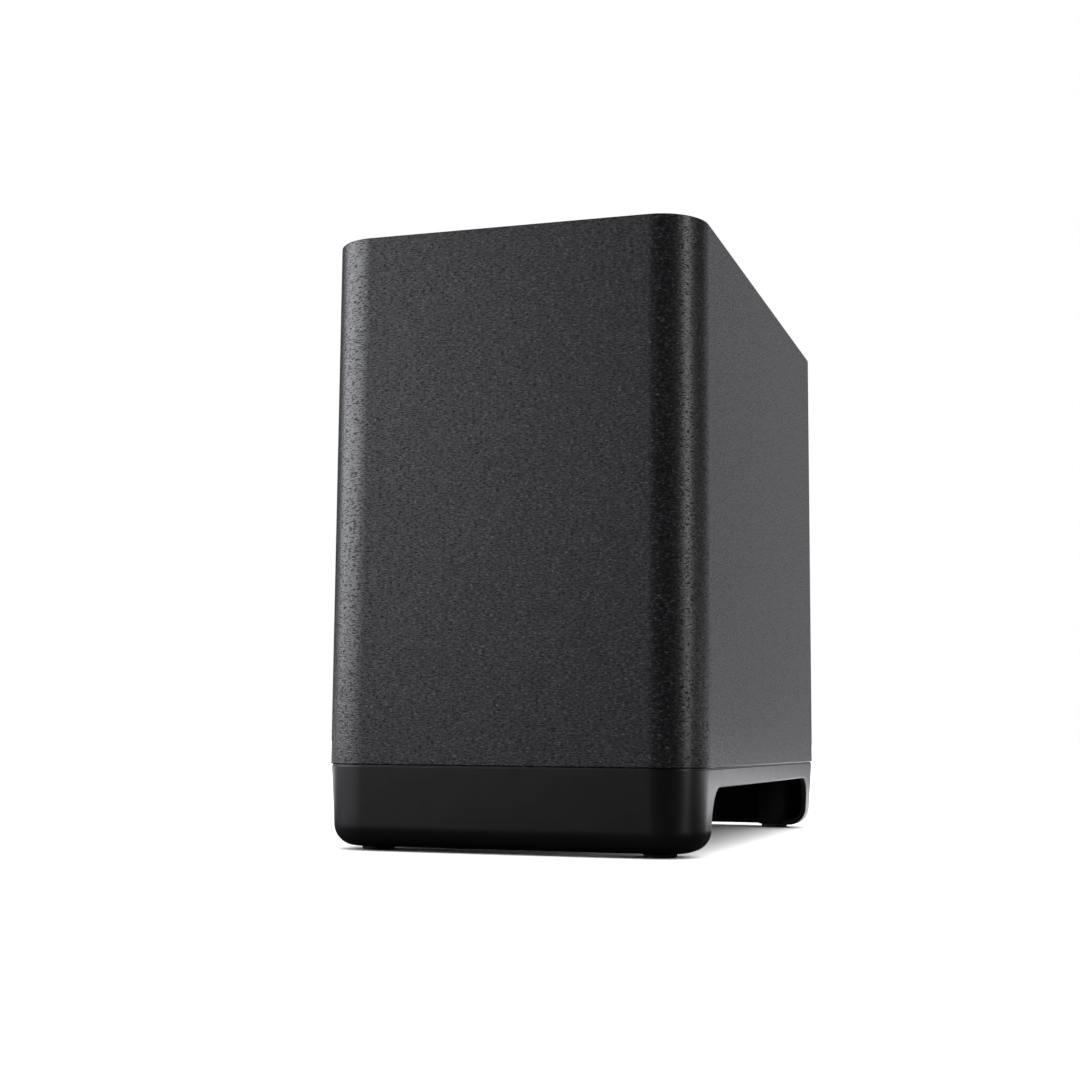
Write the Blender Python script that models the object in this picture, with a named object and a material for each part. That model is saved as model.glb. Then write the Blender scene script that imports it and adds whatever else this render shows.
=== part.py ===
"""Wireless subwoofer of a soundbar set, firing down into an arched base.

Metres, +Z up. The origin is on the floor, under the middle of the cabinet. The front faces -Y.
"""

import math

import bmesh
import bpy
from mathutils import Vector

MM = 0.001

# Overall size
WIDTH = 193.6 * MM
DEPTH = 362.4 * MM
HEIGHT = 307 * MM
CORNER_R = 24.6 * MM

# Gaps
PLAY = 0.3 * MM  # between pieces that touch
SEAM = 0.6 * MM  # shadow line between plinth and cabinet

# Base plinth
FOOT_PROUD = 2 * MM  # plinth's underside above the floor
PLINTH_TOP = 41.4 * MM
PLINTH_INSET = 0.46 * MM  # how far its top edge stands inside the cabinet's faces
PLINTH_DRAFT = 0.0613  # inset gained per unit of height, going down
PLINTH_FILLET = 11 * MM
PLINTH_T = 3 * MM
PLINTH_LIP = 4 * MM  # flat rim inside the bottom fillet
PLATE_T = 2.4 * MM
PLATE_STEP = 1.4 * MM  # plate's top face below the rim
ARCH_TOP = 32.2 * MM
ARCH_R = 14 * MM
ARCH_LEG = 36.7 * MM  # cabinet's face to the arch's edge
BOSS_R = 10 * MM
BOSS_STEP = 0.2 * MM  # boss's underside above the plinth's
PLATE_OPENING_EDGE = 4.8 * MM  # cabinet's face to the woofer opening in the plate

# Feet and the screws above them
FOOT_R = 8.1 * MM
FOOT_EDGE_R = 1 * MM
FOOT_SUNK = 0.7 * MM
SPIGOT_R = 4.4 * MM
SPIGOT_TOP = 10 * MM
SCREW_SEAT = 26 * MM  # height of the face that the screw heads clamp
SCREW_BITE = 11 * MM  # length in the baffle board

# Cabinet
WRAP_T = 0.6 * MM
WRAP_FOLD = 5 * MM  # width of the wrap folded under the bottom edge
WRAP_EDGE_R = 1 * MM
WRAP_TOP_R = 0.8 * MM
WALL = 12 * MM
TOP_T = 12 * MM
BAFFLE_T = 15 * MM
BRACE_T = 12 * MM
BRACE_RING = 26 * MM
WADDING_T = 14 * MM
WADDING_EDGE = 20 * MM  # clear strip round the wadding

# Woofer, all radii from the flange inwards and heights from the baffle's underside
FLANGE_EDGE = 7.8 * MM  # cabinet's face to the flange
FLANGE_T = 2 * MM
GASKET_T = 1.1 * MM
FLANGE_LAND = 11 * MM  # flange that bears on the board
FRAME_WALL = 1.5 * MM
SCREW_RING = 4.5 * MM  # flange's edge to the screw centres
LIP_INNER = 17 * MM  # flange's edge to its inner edge
ROLL_OUTER = 18 * MM  # flange's edge to the roll
ROLL_R = 6 * MM
ROLL_GLUE = 5 * MM
RUBBER_T = 0.8 * MM
CONE_T = 1.1 * MM
CONE_DEPTH = 22.8 * MM
CAP_R = 26 * MM
CAP_RISE = 8 * MM
COIL_R = 18.1 * MM  # outside of the former
FORMER_T = 0.4 * MM
FORMER_LENGTH = 35 * MM
WINDING_T = 0.9 * MM
WINDING_LENGTH = 15 * MM
SPIDER_R = 45 * MM
SPIDER_LAND = 5 * MM
SPIDER_WAVE = 1.5 * MM
SPIDER_T = 0.6 * MM
SPIDER_RISE = 10 * MM  # spider above the cone's neck
MOTOR_RISE = 20 * MM  # front plate above the cone's neck
POLE_GAP = 0.7 * MM
PLATE_R = 45 * MM
POLE_PLATE_T = 6 * MM
MAGNET_R = 52 * MM
MAGNET_BORE_R = 26 * MM
MAGNET_T = 16 * MM
YOKE_R = 47 * MM
VENT_R = 5 * MM
LEAD_R = 0.6 * MM
WINDOWS = 6

# Bass port
PORT_R = 22 * MM
PORT_T = 2.2 * MM
PORT_FLARE = 9 * MM
PORT_RIM = 2 * MM  # flat rim outside the flare
PORT_LENGTH = 140 * MM
PORT_BELOW_TOP = 58 * MM

# Amplifier module
PANEL_SIDE = 3.2 * MM  # corner rounding to the panel's side
PANEL_H = 100 * MM
PANEL_T = 3.3 * MM
PANEL_R = 6 * MM
PANEL_ABOVE_BAFFLE = 4 * MM
PANEL_LAND = 7 * MM  # width of panel that bears on the wall
PANEL_GASKET_T = 1 * MM
COVER_DEPTH = 50 * MM
COVER_T = 2 * MM
BOARD_T = 1.6 * MM
BOARD_DEPTH = 36 * MM  # panel to the main boards
BUTTON_R = 4 * MM
BUTTON_TRAVEL = 0.8 * MM
LENS_R = 2 * MM
INLET_W = 20.4 * MM
INLET_H = 13 * MM
INLET_DEPTH = 15 * MM
SOCKET_W = 15.6 * MM
SOCKET_H = 8 * MM
SOCKET_DEPTH = 12 * MM
PIN_R = 1.2 * MM
PIN_PITCH = 8.6 * MM
CABLE_R = 1.8 * MM
PANEL_SCREW_R = 1.5 * MM
PANEL_SCREW_HEAD_R = 2.7 * MM
PANEL_SCREW_HEAD_T = 1.5 * MM
PANEL_SCREW_BITE = 5 * MM  # length in the wall
COUNTERSINK_R = 3 * MM
COUNTERSINK = 2 * MM  # depth of the screws' seats in the panel

# Facets
CORNER_STEPS = 6
ROUND = 28
SMALL_ROUND = 10
FOOT_ROUND = 16
MOTOR_ROUND = 20

# Heights and insets that follow
CABINET_BOTTOM = PLINTH_TOP + SEAM
BAFFLE_BOTTOM = CABINET_BOTTOM + WRAP_T + PLAY
BAFFLE_TOP = BAFFLE_BOTTOM + BAFFLE_T
WOOD_INSET = WRAP_T + PLAY
TOP_BOTTOM = HEIGHT - WOOD_INSET - TOP_T
INNER_INSET = WOOD_INSET + WALL
PLATE_TOP = PLINTH_TOP - PLATE_STEP
CORNERS = [(side, end) for side in (-1, 1) for end in (-1, 1)]
CORNER_NAMES = {
    (-1, -1): "front_left",
    (1, -1): "front_right",
    (-1, 1): "rear_left",
    (1, 1): "rear_right",
}


def corner_xy(side, end):
    """The axis of one vertical corner, which is also a foot's axis."""
    return side * (WIDTH / 2 - CORNER_R), end * (DEPTH / 2 - CORNER_R)


# Materials


def paint(name, colour, roughness, metallic=0.0):
    material = bpy.data.materials.new(name)
    material.use_nodes = True
    shader = material.node_tree.nodes["Principled BSDF"]
    shader.inputs["Base Color"].default_value = (*colour, 1)
    shader.inputs["Roughness"].default_value = roughness
    shader.inputs["Metallic"].default_value = metallic
    material.diffuse_color = (*colour, 1)
    return material


for old in list(bpy.data.objects):
    bpy.data.objects.remove(old)

HEATHER = paint("heather_wrap", (0.05, 0.05, 0.054), 0.8)
SATIN_BLACK = paint("satin_black", (0.012, 0.012, 0.013), 0.35)
BLACK_PLASTIC = paint("black_plastic", (0.018, 0.018, 0.02), 0.5)
RUBBER = paint("rubber", (0.015, 0.015, 0.015), 0.75)
FOAM = paint("foam", (0.03, 0.03, 0.03), 0.95)
BOARD_WOOD = paint("fibreboard", (0.35, 0.24, 0.15), 0.85)
WADDING = paint("wadding", (0.75, 0.74, 0.7), 0.95)
STEEL = paint("black_steel", (0.02, 0.02, 0.022), 0.45, 0.6)
ZINC = paint("zinc_steel", (0.6, 0.6, 0.62), 0.35, 1.0)
FERRITE = paint("ferrite", (0.05, 0.05, 0.055), 0.6)
PAPER = paint("cone_paper", (0.03, 0.03, 0.03), 0.85)
CLOTH = paint("spider_cloth", (0.6, 0.4, 0.12), 0.9)
COPPER = paint("copper", (0.72, 0.3, 0.14), 0.35, 1.0)
KAPTON = paint("former_film", (0.55, 0.25, 0.05), 0.4)
CIRCUIT = paint("circuit_board", (0.03, 0.2, 0.08), 0.5)
ALUMINIUM = paint("aluminium", (0.75, 0.76, 0.78), 0.4, 1.0)
LENS = paint("lens", (0.8, 0.82, 0.85), 0.15)


# Modelling helpers


def finish(name, mesh, material, location=(0, 0, 0), rotation=(0, 0, 0)):
    """One object from a bmesh, with its faces out and its round surfaces smooth."""
    bmesh.ops.recalc_face_normals(mesh, faces=mesh.faces)
    data = bpy.data.meshes.new(name)
    mesh.to_mesh(data)
    mesh.free()
    data.shade_smooth()
    data.set_sharp_from_angle(angle=math.radians(35))
    obj = bpy.data.objects.new(name, data)
    obj.location = location
    obj.rotation_euler = rotation
    if material:
        data.materials.append(material)
    bpy.context.scene.collection.objects.link(obj)
    return obj


def tool(name, mesh, location=(0, 0, 0), rotation=(0, 0, 0)):
    """A helper solid that cuts or joins, and is no piece itself."""
    obj = finish(name, mesh, None, location, rotation)
    obj.hide_render = True
    obj.display_type = "WIRE"
    return obj


def combine(target, helper, operation="DIFFERENCE"):
    modifier = target.modifiers.new(helper.name, "BOOLEAN")
    modifier.operation = operation
    modifier.solver = "EXACT"
    modifier.object = helper


def loft(rings, closed=False):
    """Skin over rings with equal counts of points: a closed tube, or a solid capped at both ends."""
    mesh = bmesh.new()
    loops = [[mesh.verts.new(point) for point in ring] for ring in rings]
    pairs = list(zip(loops, loops[1:] + loops[:1]))
    for low, high in pairs if closed else pairs[:-1]:
        for i, vertex in enumerate(low):
            after = (i + 1) % len(low)
            mesh.faces.new((vertex, low[after], high[after], high[i]))
    if not closed:
        mesh.faces.new(loops[0])
        mesh.faces.new(loops[-1])
    return mesh


def turned(profile, steps=ROUND):
    """A solid turned about Z from an outline of (radius, height) points."""
    mesh = bmesh.new()
    points = [mesh.verts.new((radius, 0, height)) for radius, height in profile]
    ends = list(zip(points, points[1:] + points[:1]))
    if profile[0][0] == 0 and profile[-1][0] == 0:
        ends.pop()
    edges = [mesh.edges.new(pair) for pair in ends]
    bmesh.ops.spin(
        mesh,
        geom=points + edges,
        axis=(0, 0, 1),
        cent=(0, 0, 0),
        angle=math.tau,
        steps=steps,
        use_merge=True,
    )
    bmesh.ops.remove_doubles(mesh, verts=mesh.verts, dist=1e-7)
    return mesh


def cylinder(radius, low, high, steps=SMALL_ROUND):
    return turned([(0, low), (radius, low), (radius, high), (0, high)], steps)


def block(low, high):
    """A box between two opposite corners."""
    low, high = Vector(low), Vector(high)
    mesh = bmesh.new()
    bmesh.ops.create_cube(mesh, size=1)
    bmesh.ops.scale(mesh, vec=high - low, verts=mesh.verts)
    bmesh.ops.translate(mesh, vec=(low + high) / 2, verts=mesh.verts)
    return mesh


def arc(centre, radius, start, end, steps):
    """Points on an arc, with the angles in degrees."""
    angles = [math.radians(start + (end - start) * i / steps) for i in range(steps + 1)]
    return [
        (centre[0] + radius * math.cos(a), centre[1] + radius * math.sin(a))
        for a in angles
    ]


def rounded_rectangle(half_x, half_y, radius, steps=CORNER_STEPS):
    corners = ((1, 1, 0), (-1, 1, 90), (-1, -1, 180), (1, -1, 270))
    points = []
    for side, end, start in corners:
        centre = (side * (half_x - radius), end * (half_y - radius))
        points += arc(centre, radius, start, start + 90, steps)
    return points


def cabinet_ring(inset, height):
    """The cabinet's outline moved inwards, whose corners keep their axes while they can."""
    radius = max(CORNER_R - inset, PLAY)
    outline = rounded_rectangle(WIDTH / 2 - inset, DEPTH / 2 - inset, radius)
    return [(x, y, height) for x, y in outline]


def cabinet_loft(sections, closed=False):
    return loft([cabinet_ring(inset, height) for inset, height in sections], closed)


def rear_prism(width, height, radius, centre_z, low_y, high_y, steps=4):
    """A rounded rectangle seen from behind, running along Y."""
    outline = rounded_rectangle(width / 2, height / 2, radius, steps)
    return loft([[(x, y, centre_z + z) for x, z in outline] for y in (low_y, high_y)])


def smooth_path(points, steps):
    """Points on a smooth curve through the given ones (Catmull-Rom)."""
    points = [Vector(point) for point in points]
    line = [2 * points[0] - points[1], *points, 2 * points[-1] - points[-2]]
    path = []
    for before, start, end, after in zip(line, line[1:], line[2:], line[3:]):
        for i in range(steps):
            t = i / steps
            path.append(
                0.5
                * (
                    2 * start
                    + (end - before) * t
                    + (2 * before - 5 * start + 4 * end - after) * t**2
                    + (3 * start - before - 3 * end + after) * t**3
                )
            )
    return [*path, points[-1]]


def wire(name, points, radius, material, steps=4):
    """A round lead along a smooth route."""
    path = smooth_path(points, steps)
    curve = bpy.data.curves.new(name, "CURVE")
    curve.dimensions = "3D"
    curve.bevel_depth = radius
    curve.bevel_resolution = 2
    curve.use_fill_caps = True
    spline = curve.splines.new("POLY")
    spline.points.add(len(path) - 1)
    for target, point in zip(spline.points, path):
        target.co = (*point, 1)
    curve.materials.append(material)
    obj = bpy.data.objects.new(name, curve)
    bpy.context.scene.collection.objects.link(obj)
    return obj


def screw(name, head_r, head_t, shank_r, length, location, rotation, recess_r=1.6 * MM):
    """A pan-head screw with its shank along local +Z and its head's seat at local zero."""
    profile = [
        (0, -head_t * 0.45),
        (recess_r, -head_t * 0.45),
        (recess_r, -head_t),
        (head_r * 0.75, -head_t),
        (head_r, -head_t * 0.5),
        (head_r, 0),
        (shank_r, 0),
        (shank_r, length - 2 * shank_r),
        (shank_r * 0.2, length),
        (0, length),
    ]
    return finish(name, turned(profile, SMALL_ROUND), ZINC, location, rotation)


# Base

SCREW_R = 2 * MM
SCREW_HEAD_R = 3.8 * MM
SCREW_HEAD_T = 3 * MM
COUNTERBORE_R = SPIGOT_R + 0.4 * MM


def make_plinth():
    fillet_z = FOOT_PROUD + PLINTH_FILLET
    fillet_inset = PLINTH_INSET + PLINTH_DRAFT * (PLINTH_TOP - fillet_z)
    plate_bottom = PLATE_TOP - PLATE_T
    plate_inset = PLINTH_INSET + PLINTH_DRAFT * (PLINTH_TOP - plate_bottom) + PLINTH_T
    centre = (fillet_inset + PLINTH_FILLET, fillet_z)
    lip_inset = centre[0] + PLINTH_LIP
    sections = [(plate_inset, plate_bottom)]
    sections += arc(centre, PLINTH_FILLET - PLINTH_T, 180, 270, 3)
    sections += [(lip_inset, FOOT_PROUD + PLINTH_T), (lip_inset, FOOT_PROUD)]
    sections += arc(centre, PLINTH_FILLET, 270, 180, 5)
    rim = PLINTH_INSET + PLINTH_T
    sections += [(PLINTH_INSET, PLINTH_TOP), (rim, PLINTH_TOP), (rim, PLATE_TOP)]
    plinth = finish("base_plinth", cabinet_loft(sections), SATIN_BLACK)

    for side, end in CORNERS:
        place = (*corner_xy(side, end), 0)
        name = CORNER_NAMES[side, end]
        boss = cylinder(BOSS_R, FOOT_PROUD + BOSS_STEP, BAFFLE_BOTTOM - PLAY, FOOT_ROUND)
        combine(plinth, tool("boss_" + name, boss, place), "UNION")
        foot_r = FOOT_R + PLAY
        recess = FOOT_PROUD + FOOT_SUNK + PLAY
        hole_r = SCREW_R + PLAY
        bore = [
            (0, -FOOT_PROUD),
            (foot_r, -FOOT_PROUD),
            (foot_r, recess),
            (COUNTERBORE_R, recess),
            (COUNTERBORE_R, SCREW_SEAT),
            (hole_r, SCREW_SEAT),
            (hole_r, BAFFLE_TOP),
            (0, BAFFLE_TOP),
        ]
        combine(plinth, tool("bore_" + name, turned(bore, FOOT_ROUND), place))

    arch_half = DEPTH / 2 - ARCH_LEG
    below = -ARCH_TOP
    outline = rounded_rectangle(arch_half, (ARCH_TOP - below) / 2, ARCH_R, 6)
    rings = [[(x, y, z + (ARCH_TOP + below) / 2) for y, z in outline] for x in (-WIDTH, WIDTH)]
    combine(plinth, tool("arches", loft(rings)))
    opening_r = WIDTH / 2 - PLATE_OPENING_EDGE
    opening = cylinder(opening_r, plate_bottom - PLATE_T, BAFFLE_TOP, ROUND)
    combine(plinth, tool("woofer_clearance", opening))


def make_foot(side, end):
    top = FOOT_PROUD + FOOT_SUNK
    profile = [(0, 0)]
    profile += arc((FOOT_R - FOOT_EDGE_R, FOOT_EDGE_R), FOOT_EDGE_R, -90, 0, 2)
    profile += [(FOOT_R, top), (SPIGOT_R, top), (SPIGOT_R, SPIGOT_TOP), (0, SPIGOT_TOP)]
    place = (*corner_xy(side, end), 0)
    finish("foot_" + CORNER_NAMES[side, end], turned(profile, FOOT_ROUND), RUBBER, place)


def make_plinth_screw(side, end):
    seat = SCREW_SEAT - PLAY
    length = BAFFLE_BOTTOM + SCREW_BITE - seat
    place = (*corner_xy(side, end), seat)
    name = "plinth_screw_" + CORNER_NAMES[side, end]
    screw(name, SCREW_HEAD_R, SCREW_HEAD_T, SCREW_R, length, place, (0, 0, 0))


def make_plinth_gasket(name, end):
    half_x = WIDTH / 2 - CORNER_R - BOSS_R - 2 * MM
    outer = DEPTH / 2 - WRAP_FOLD - 4 * MM
    inner = outer - 14 * MM
    low = (-half_x, min(end * inner, end * outer), PLATE_TOP + PLAY)
    high = (half_x, max(end * inner, end * outer), BAFFLE_BOTTOM - PLAY)
    finish(name, block(low, high), FOAM)


# Cabinet

FLANGE_R = WIDTH / 2 - FLANGE_EDGE
OPENING_R = FLANGE_R - FLANGE_LAND
REBATE = FLANGE_T + GASKET_T + 3 * PLAY
SCREW_PITCH_R = FLANGE_R - SCREW_RING
WOOFER_SCREW_LENGTH = 16 * MM
REAR_WOOD = DEPTH / 2 - WOOD_INSET
REAR_INSIDE = DEPTH / 2 - INNER_INSET
PANEL_W = WIDTH - 2 * (CORNER_R + PANEL_SIDE)
PANEL_Z = BAFFLE_TOP + PANEL_ABOVE_BAFFLE + PANEL_H / 2
PANEL_BACK = DEPTH / 2 - PLAY - PANEL_T
PANEL_SEAT = PANEL_BACK - PANEL_GASKET_T - 2 * PLAY
CUTOUT_W = PANEL_W - 2 * PANEL_LAND
CUTOUT_H = PANEL_H - 2 * PANEL_LAND
PORT_Z = HEIGHT - PORT_BELOW_TOP
PORT_MOUTH = DEPTH / 2 - PLAY
PORT_OUTER_R = PORT_R + PORT_T
PORT_RIM_R = PORT_R + PORT_FLARE + PORT_RIM
ALONG_Y = (-math.pi / 2, 0, 0)  # turns local +Z to +Y
INTO_REAR = (math.pi / 2, 0, 0)  # turns local +Z to -Y


def screw_places():
    """(name, x, y) of the woofer's screws."""
    reach = SCREW_PITCH_R * math.sqrt(0.5)
    return [(CORNER_NAMES[s, e], s * reach, e * reach) for s, e in CORNERS]


def panel_screw_places():
    """(name, x, z) of the panel's screws."""
    names = {(-1, -1): "low_left", (1, -1): "low_right", (-1, 1): "top_left", (1, 1): "top_right"}
    reach_x = (PANEL_W - PANEL_LAND) / 2
    reach_z = (PANEL_H - PANEL_LAND) / 2
    return [(names[s, e], s * reach_x, PANEL_Z + e * reach_z) for s, e in CORNERS]


def port_outside(offset):
    """The port's outer outline, moved outwards. Heights run from the inner end to the mouth."""
    flare = (PORT_R + PORT_FLARE, PORT_LENGTH - PORT_FLARE)
    points = [(PORT_OUTER_R + offset, 0)]
    points += arc(flare, PORT_FLARE - PORT_T - offset, 180, 90, 4)
    return points + [(PORT_RIM_R + offset, PORT_LENGTH - PORT_T - offset)]


def make_wrap():
    inner_r = WRAP_EDGE_R - WRAP_T
    bottom = CABINET_BOTTOM
    edge = (WRAP_EDGE_R, bottom + WRAP_EDGE_R)
    sections = [(WRAP_T, HEIGHT - WRAP_T)]
    sections += arc(edge, inner_r, 180, 270, 2)
    sections += [(WRAP_FOLD, bottom + WRAP_T), (WRAP_FOLD, bottom)]
    sections += arc(edge, WRAP_EDGE_R, 270, 180, 3)
    sections += arc((WRAP_TOP_R, HEIGHT - WRAP_TOP_R), WRAP_TOP_R, 180, 90, 2)
    wrap = finish("cabinet_wrap", cabinet_loft(sections), HEATHER)
    outside = DEPTH / 2 + WALL
    hole = rear_prism(
        PANEL_W + 2 * PLAY, PANEL_H + 2 * PLAY, PANEL_R + PLAY, PANEL_Z, REAR_INSIDE, outside
    )
    combine(wrap, tool("panel_opening", hole))
    mouth = cylinder(PORT_RIM_R + PLAY, REAR_INSIDE, outside, ROUND)
    combine(wrap, tool("port_opening", mouth, (0, 0, PORT_Z), ALONG_Y))


def make_shell():
    low = BAFFLE_TOP + PLAY
    high = TOP_BOTTOM - PLAY
    sections = [(WOOD_INSET, low), (WOOD_INSET, high), (INNER_INSET, high), (INNER_INSET, low)]
    shell = finish("cabinet_shell", cabinet_loft(sections, closed=True), BOARD_WOOD)
    outside = DEPTH / 2 + WALL
    rebate = rear_prism(
        PANEL_W + 2 * PLAY, PANEL_H + 2 * PLAY, PANEL_R + PLAY, PANEL_Z, PANEL_SEAT, outside
    )
    combine(shell, tool("panel_rebate", rebate))
    cutout = rear_prism(CUTOUT_W, CUTOUT_H, PANEL_R, PANEL_Z, REAR_INSIDE - WALL, outside)
    combine(shell, tool("panel_cutout", cutout))
    hole = port_outside(PLAY)
    hole = [(0, 0), *hole, (hole[-1][0], PORT_LENGTH + WALL), (0, PORT_LENGTH + WALL)]
    place = (0, PORT_MOUTH - PORT_LENGTH, PORT_Z)
    combine(shell, tool("port_hole", turned(hole), place, ALONG_Y))
    for name, x, z in panel_screw_places():
        bore_end = PANEL_SEAT - PANEL_SCREW_BITE - MM
        bore = cylinder(PANEL_SCREW_R + PLAY, bore_end, outside, 10)
        combine(shell, tool("panel_bore_" + name, bore, (x, 0, z), ALONG_Y))


def make_top_panel():
    sections = [(WOOD_INSET, TOP_BOTTOM), (WOOD_INSET, TOP_BOTTOM + TOP_T)]
    finish("top_panel", cabinet_loft(sections), BOARD_WOOD)


def make_baffle():
    sections = [(WOOD_INSET, BAFFLE_BOTTOM), (WOOD_INSET, BAFFLE_TOP)]
    baffle = finish("baffle_board", cabinet_loft(sections), BOARD_WOOD)
    seat = BAFFLE_BOTTOM + REBATE
    opening = [
        (0, 0),
        (FLANGE_R + PLAY, 0),
        (FLANGE_R + PLAY, seat),
        (OPENING_R, seat),
        (OPENING_R, BAFFLE_TOP + WALL),
        (0, BAFFLE_TOP + WALL),
    ]
    combine(baffle, tool("woofer_opening", turned(opening)))
    for name, x, y in screw_places():
        top = BAFFLE_BOTTOM + WOOFER_SCREW_LENGTH + PLAY
        bore = cylinder(SCREW_R + PLAY, 0, min(top, BAFFLE_TOP - MM), 10)
        combine(baffle, tool("woofer_bore_" + name, bore, (x, y, 0)))
    for side, end in CORNERS:
        bore = cylinder(SCREW_R + PLAY, 0, BAFFLE_BOTTOM + SCREW_BITE + PLAY, 10)
        name = "plinth_bore_" + CORNER_NAMES[side, end]
        combine(baffle, tool(name, bore, (*corner_xy(side, end), 0)))


COVER_TOP = PANEL_Z + CUTOUT_H / 2 - 2 * PLAY
BRACE_Z = (COVER_TOP + PORT_Z - PORT_OUTER_R) / 2


def make_brace():
    low = BRACE_Z - BRACE_T / 2
    high = BRACE_Z + BRACE_T / 2
    outer = INNER_INSET + PLAY
    inner = outer + BRACE_RING
    brace = finish(
        "window_brace", cabinet_loft([(outer, low), (outer, high)]), BOARD_WOOD
    )
    half = (WIDTH / 2 - inner, DEPTH / 2 - inner)
    outline = rounded_rectangle(*half, CORNER_R, 5)
    window = loft([[(x, y, z) for x, y in outline] for z in (low - BRACE_T, high + BRACE_T)])
    combine(brace, tool("brace_window", window))


def make_wadding():
    low_z = BRACE_Z + BRACE_T / 2 + WADDING_T / 2
    high_z = TOP_BOTTOM - WADDING_T / 2
    half_x = WIDTH / 2 - INNER_INSET - WADDING_EDGE
    front = -REAR_INSIDE + PLAY
    low = (-half_x, front, low_z)
    high = (half_x, front + WADDING_T, high_z)
    finish("acoustic_wadding", block(low, high), WADDING)


def make_port():
    flare = (PORT_R + PORT_FLARE, PORT_LENGTH - PORT_FLARE)
    profile = port_outside(0) + [(PORT_RIM_R, PORT_LENGTH)]
    profile += arc(flare, PORT_FLARE, 90, 180, 5) + [(PORT_R, 0)]
    place = (0, PORT_MOUTH - PORT_LENGTH, PORT_Z)
    finish("port_tube", turned(profile), BLACK_PLASTIC, place, ALONG_Y)


# Woofer

FLANGE_BOTTOM = BAFFLE_BOTTOM + PLAY
FLANGE_TOP = FLANGE_BOTTOM + FLANGE_T
LIP_R = FLANGE_R - LIP_INNER
ROLL_OUT_R = FLANGE_R - ROLL_OUTER
ROLL_MID_R = ROLL_OUT_R - ROLL_R
ROLL_IN_R = ROLL_MID_R - ROLL_R
CONE_EDGE_R = ROLL_IN_R - PLAY
CONE_LIP_R = ROLL_IN_R - ROLL_GLUE
NECK_R = COIL_R + PLAY
NECK_Z = FLANGE_BOTTOM + CONE_DEPTH
SPIDER_Z = NECK_Z + SPIDER_RISE
MOTOR_Z = NECK_Z + MOTOR_RISE
LEDGE_Z = SPIDER_Z + SPIDER_T + PLAY
MAGNET_Z = MOTOR_Z + POLE_PLATE_T + PLAY
YOKE_Z = MAGNET_Z + MAGNET_T + PLAY
FRAME_TOP_R = SPIDER_R + 5.8 * MM
FRAME_WAIST_Z = FLANGE_TOP + 3 * MM
FRAME_OUT_R = OPENING_R - 2 * MM


def frame_r(height):
    """Outer radius of the basket's sloping side."""
    share = (height - FRAME_WAIST_Z) / (LEDGE_Z + FRAME_WALL - FRAME_WAIST_Z)
    return FRAME_OUT_R + (FRAME_TOP_R - FRAME_OUT_R) * share


def cone_z(radius):
    """Height of the cone's lower face."""
    share = (radius - NECK_R) / (CONE_LIP_R - NECK_R)
    return NECK_Z - CONE_DEPTH * share**0.9


def make_basket():
    seat_r = PLATE_R + MM
    ledge_top = LEDGE_Z + FRAME_WALL
    ring_z = MOTOR_Z - PLAY - FRAME_WALL
    ledge_r = SPIDER_R - SPIDER_LAND + MM
    profile = [
        (FLANGE_R, FLANGE_BOTTOM),
        (FLANGE_R, FLANGE_TOP),
        (FRAME_OUT_R, FLANGE_TOP),
        (FRAME_OUT_R, FRAME_WAIST_Z),
        (FRAME_TOP_R, ledge_top),
        (seat_r, ledge_top),
        (seat_r, MOTOR_Z - PLAY),
        (COIL_R + 6 * MM, MOTOR_Z - PLAY),
        (COIL_R + 6 * MM, ring_z),
        (seat_r - FRAME_WALL, ring_z),
        (seat_r - FRAME_WALL, ledge_top),
        (ledge_r, ledge_top),
        (ledge_r, LEDGE_Z),
        (FRAME_TOP_R - 1.7 * MM, LEDGE_Z),
        (FRAME_OUT_R - FRAME_WALL, FRAME_WAIST_Z - MM),
        (FRAME_OUT_R - FRAME_WALL, FLANGE_TOP - 0.5 * MM),
        (LIP_R, FLANGE_TOP - 0.5 * MM),
        (LIP_R, FLANGE_BOTTOM),
    ]
    basket = finish("woofer_basket", turned(profile), STEEL)
    window_low = FRAME_WAIST_Z + 3 * MM
    window_high = LEDGE_Z - 3 * MM
    half = frame_r((window_low + window_high) / 2) * math.sin(math.pi / WINDOWS) * 0.6
    for i in range(WINDOWS):
        low = (SPIDER_R - 4 * MM, -half, window_low)
        high = (FLANGE_R, half, window_high)
        turn = (0, 0, math.tau * i / WINDOWS)
        combine(basket, tool(f"basket_window_{i}", block(low, high), (0, 0, 0), turn))
    for name, x, y in screw_places():
        bore = cylinder(SCREW_R + PLAY, 0, BAFFLE_TOP, 10)
        combine(basket, tool("flange_hole_" + name, bore, (x, y, 0)))


def make_woofer_gasket():
    low = FLANGE_TOP + PLAY
    high = low + GASKET_T
    inner = OPENING_R + 0.5 * MM
    profile = [(FLANGE_R, low), (FLANGE_R, high), (inner, high), (inner, low)]
    gasket = finish("woofer_gasket", turned(profile), FOAM)
    for name, x, y in screw_places():
        bore = cylinder(SCREW_R + PLAY, 0, BAFFLE_TOP, 10)
        combine(gasket, tool("gasket_hole_" + name, bore, (x, y, 0)))


def make_surround():
    top = FLANGE_BOTTOM - PLAY
    centre = (ROLL_MID_R, top)
    glue_r = ROLL_OUT_R + 8 * MM
    profile = [(glue_r, top), (ROLL_OUT_R - RUBBER_T, top)]
    profile += arc(centre, ROLL_R - RUBBER_T, -8, -172, 5)
    profile += [(ROLL_IN_R + RUBBER_T, top), (CONE_LIP_R, top), (CONE_LIP_R, top - RUBBER_T)]
    profile += arc(centre, ROLL_R, -172, -8, 5) + [(glue_r, top - RUBBER_T)]
    finish("woofer_surround", turned(profile), RUBBER)


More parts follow.
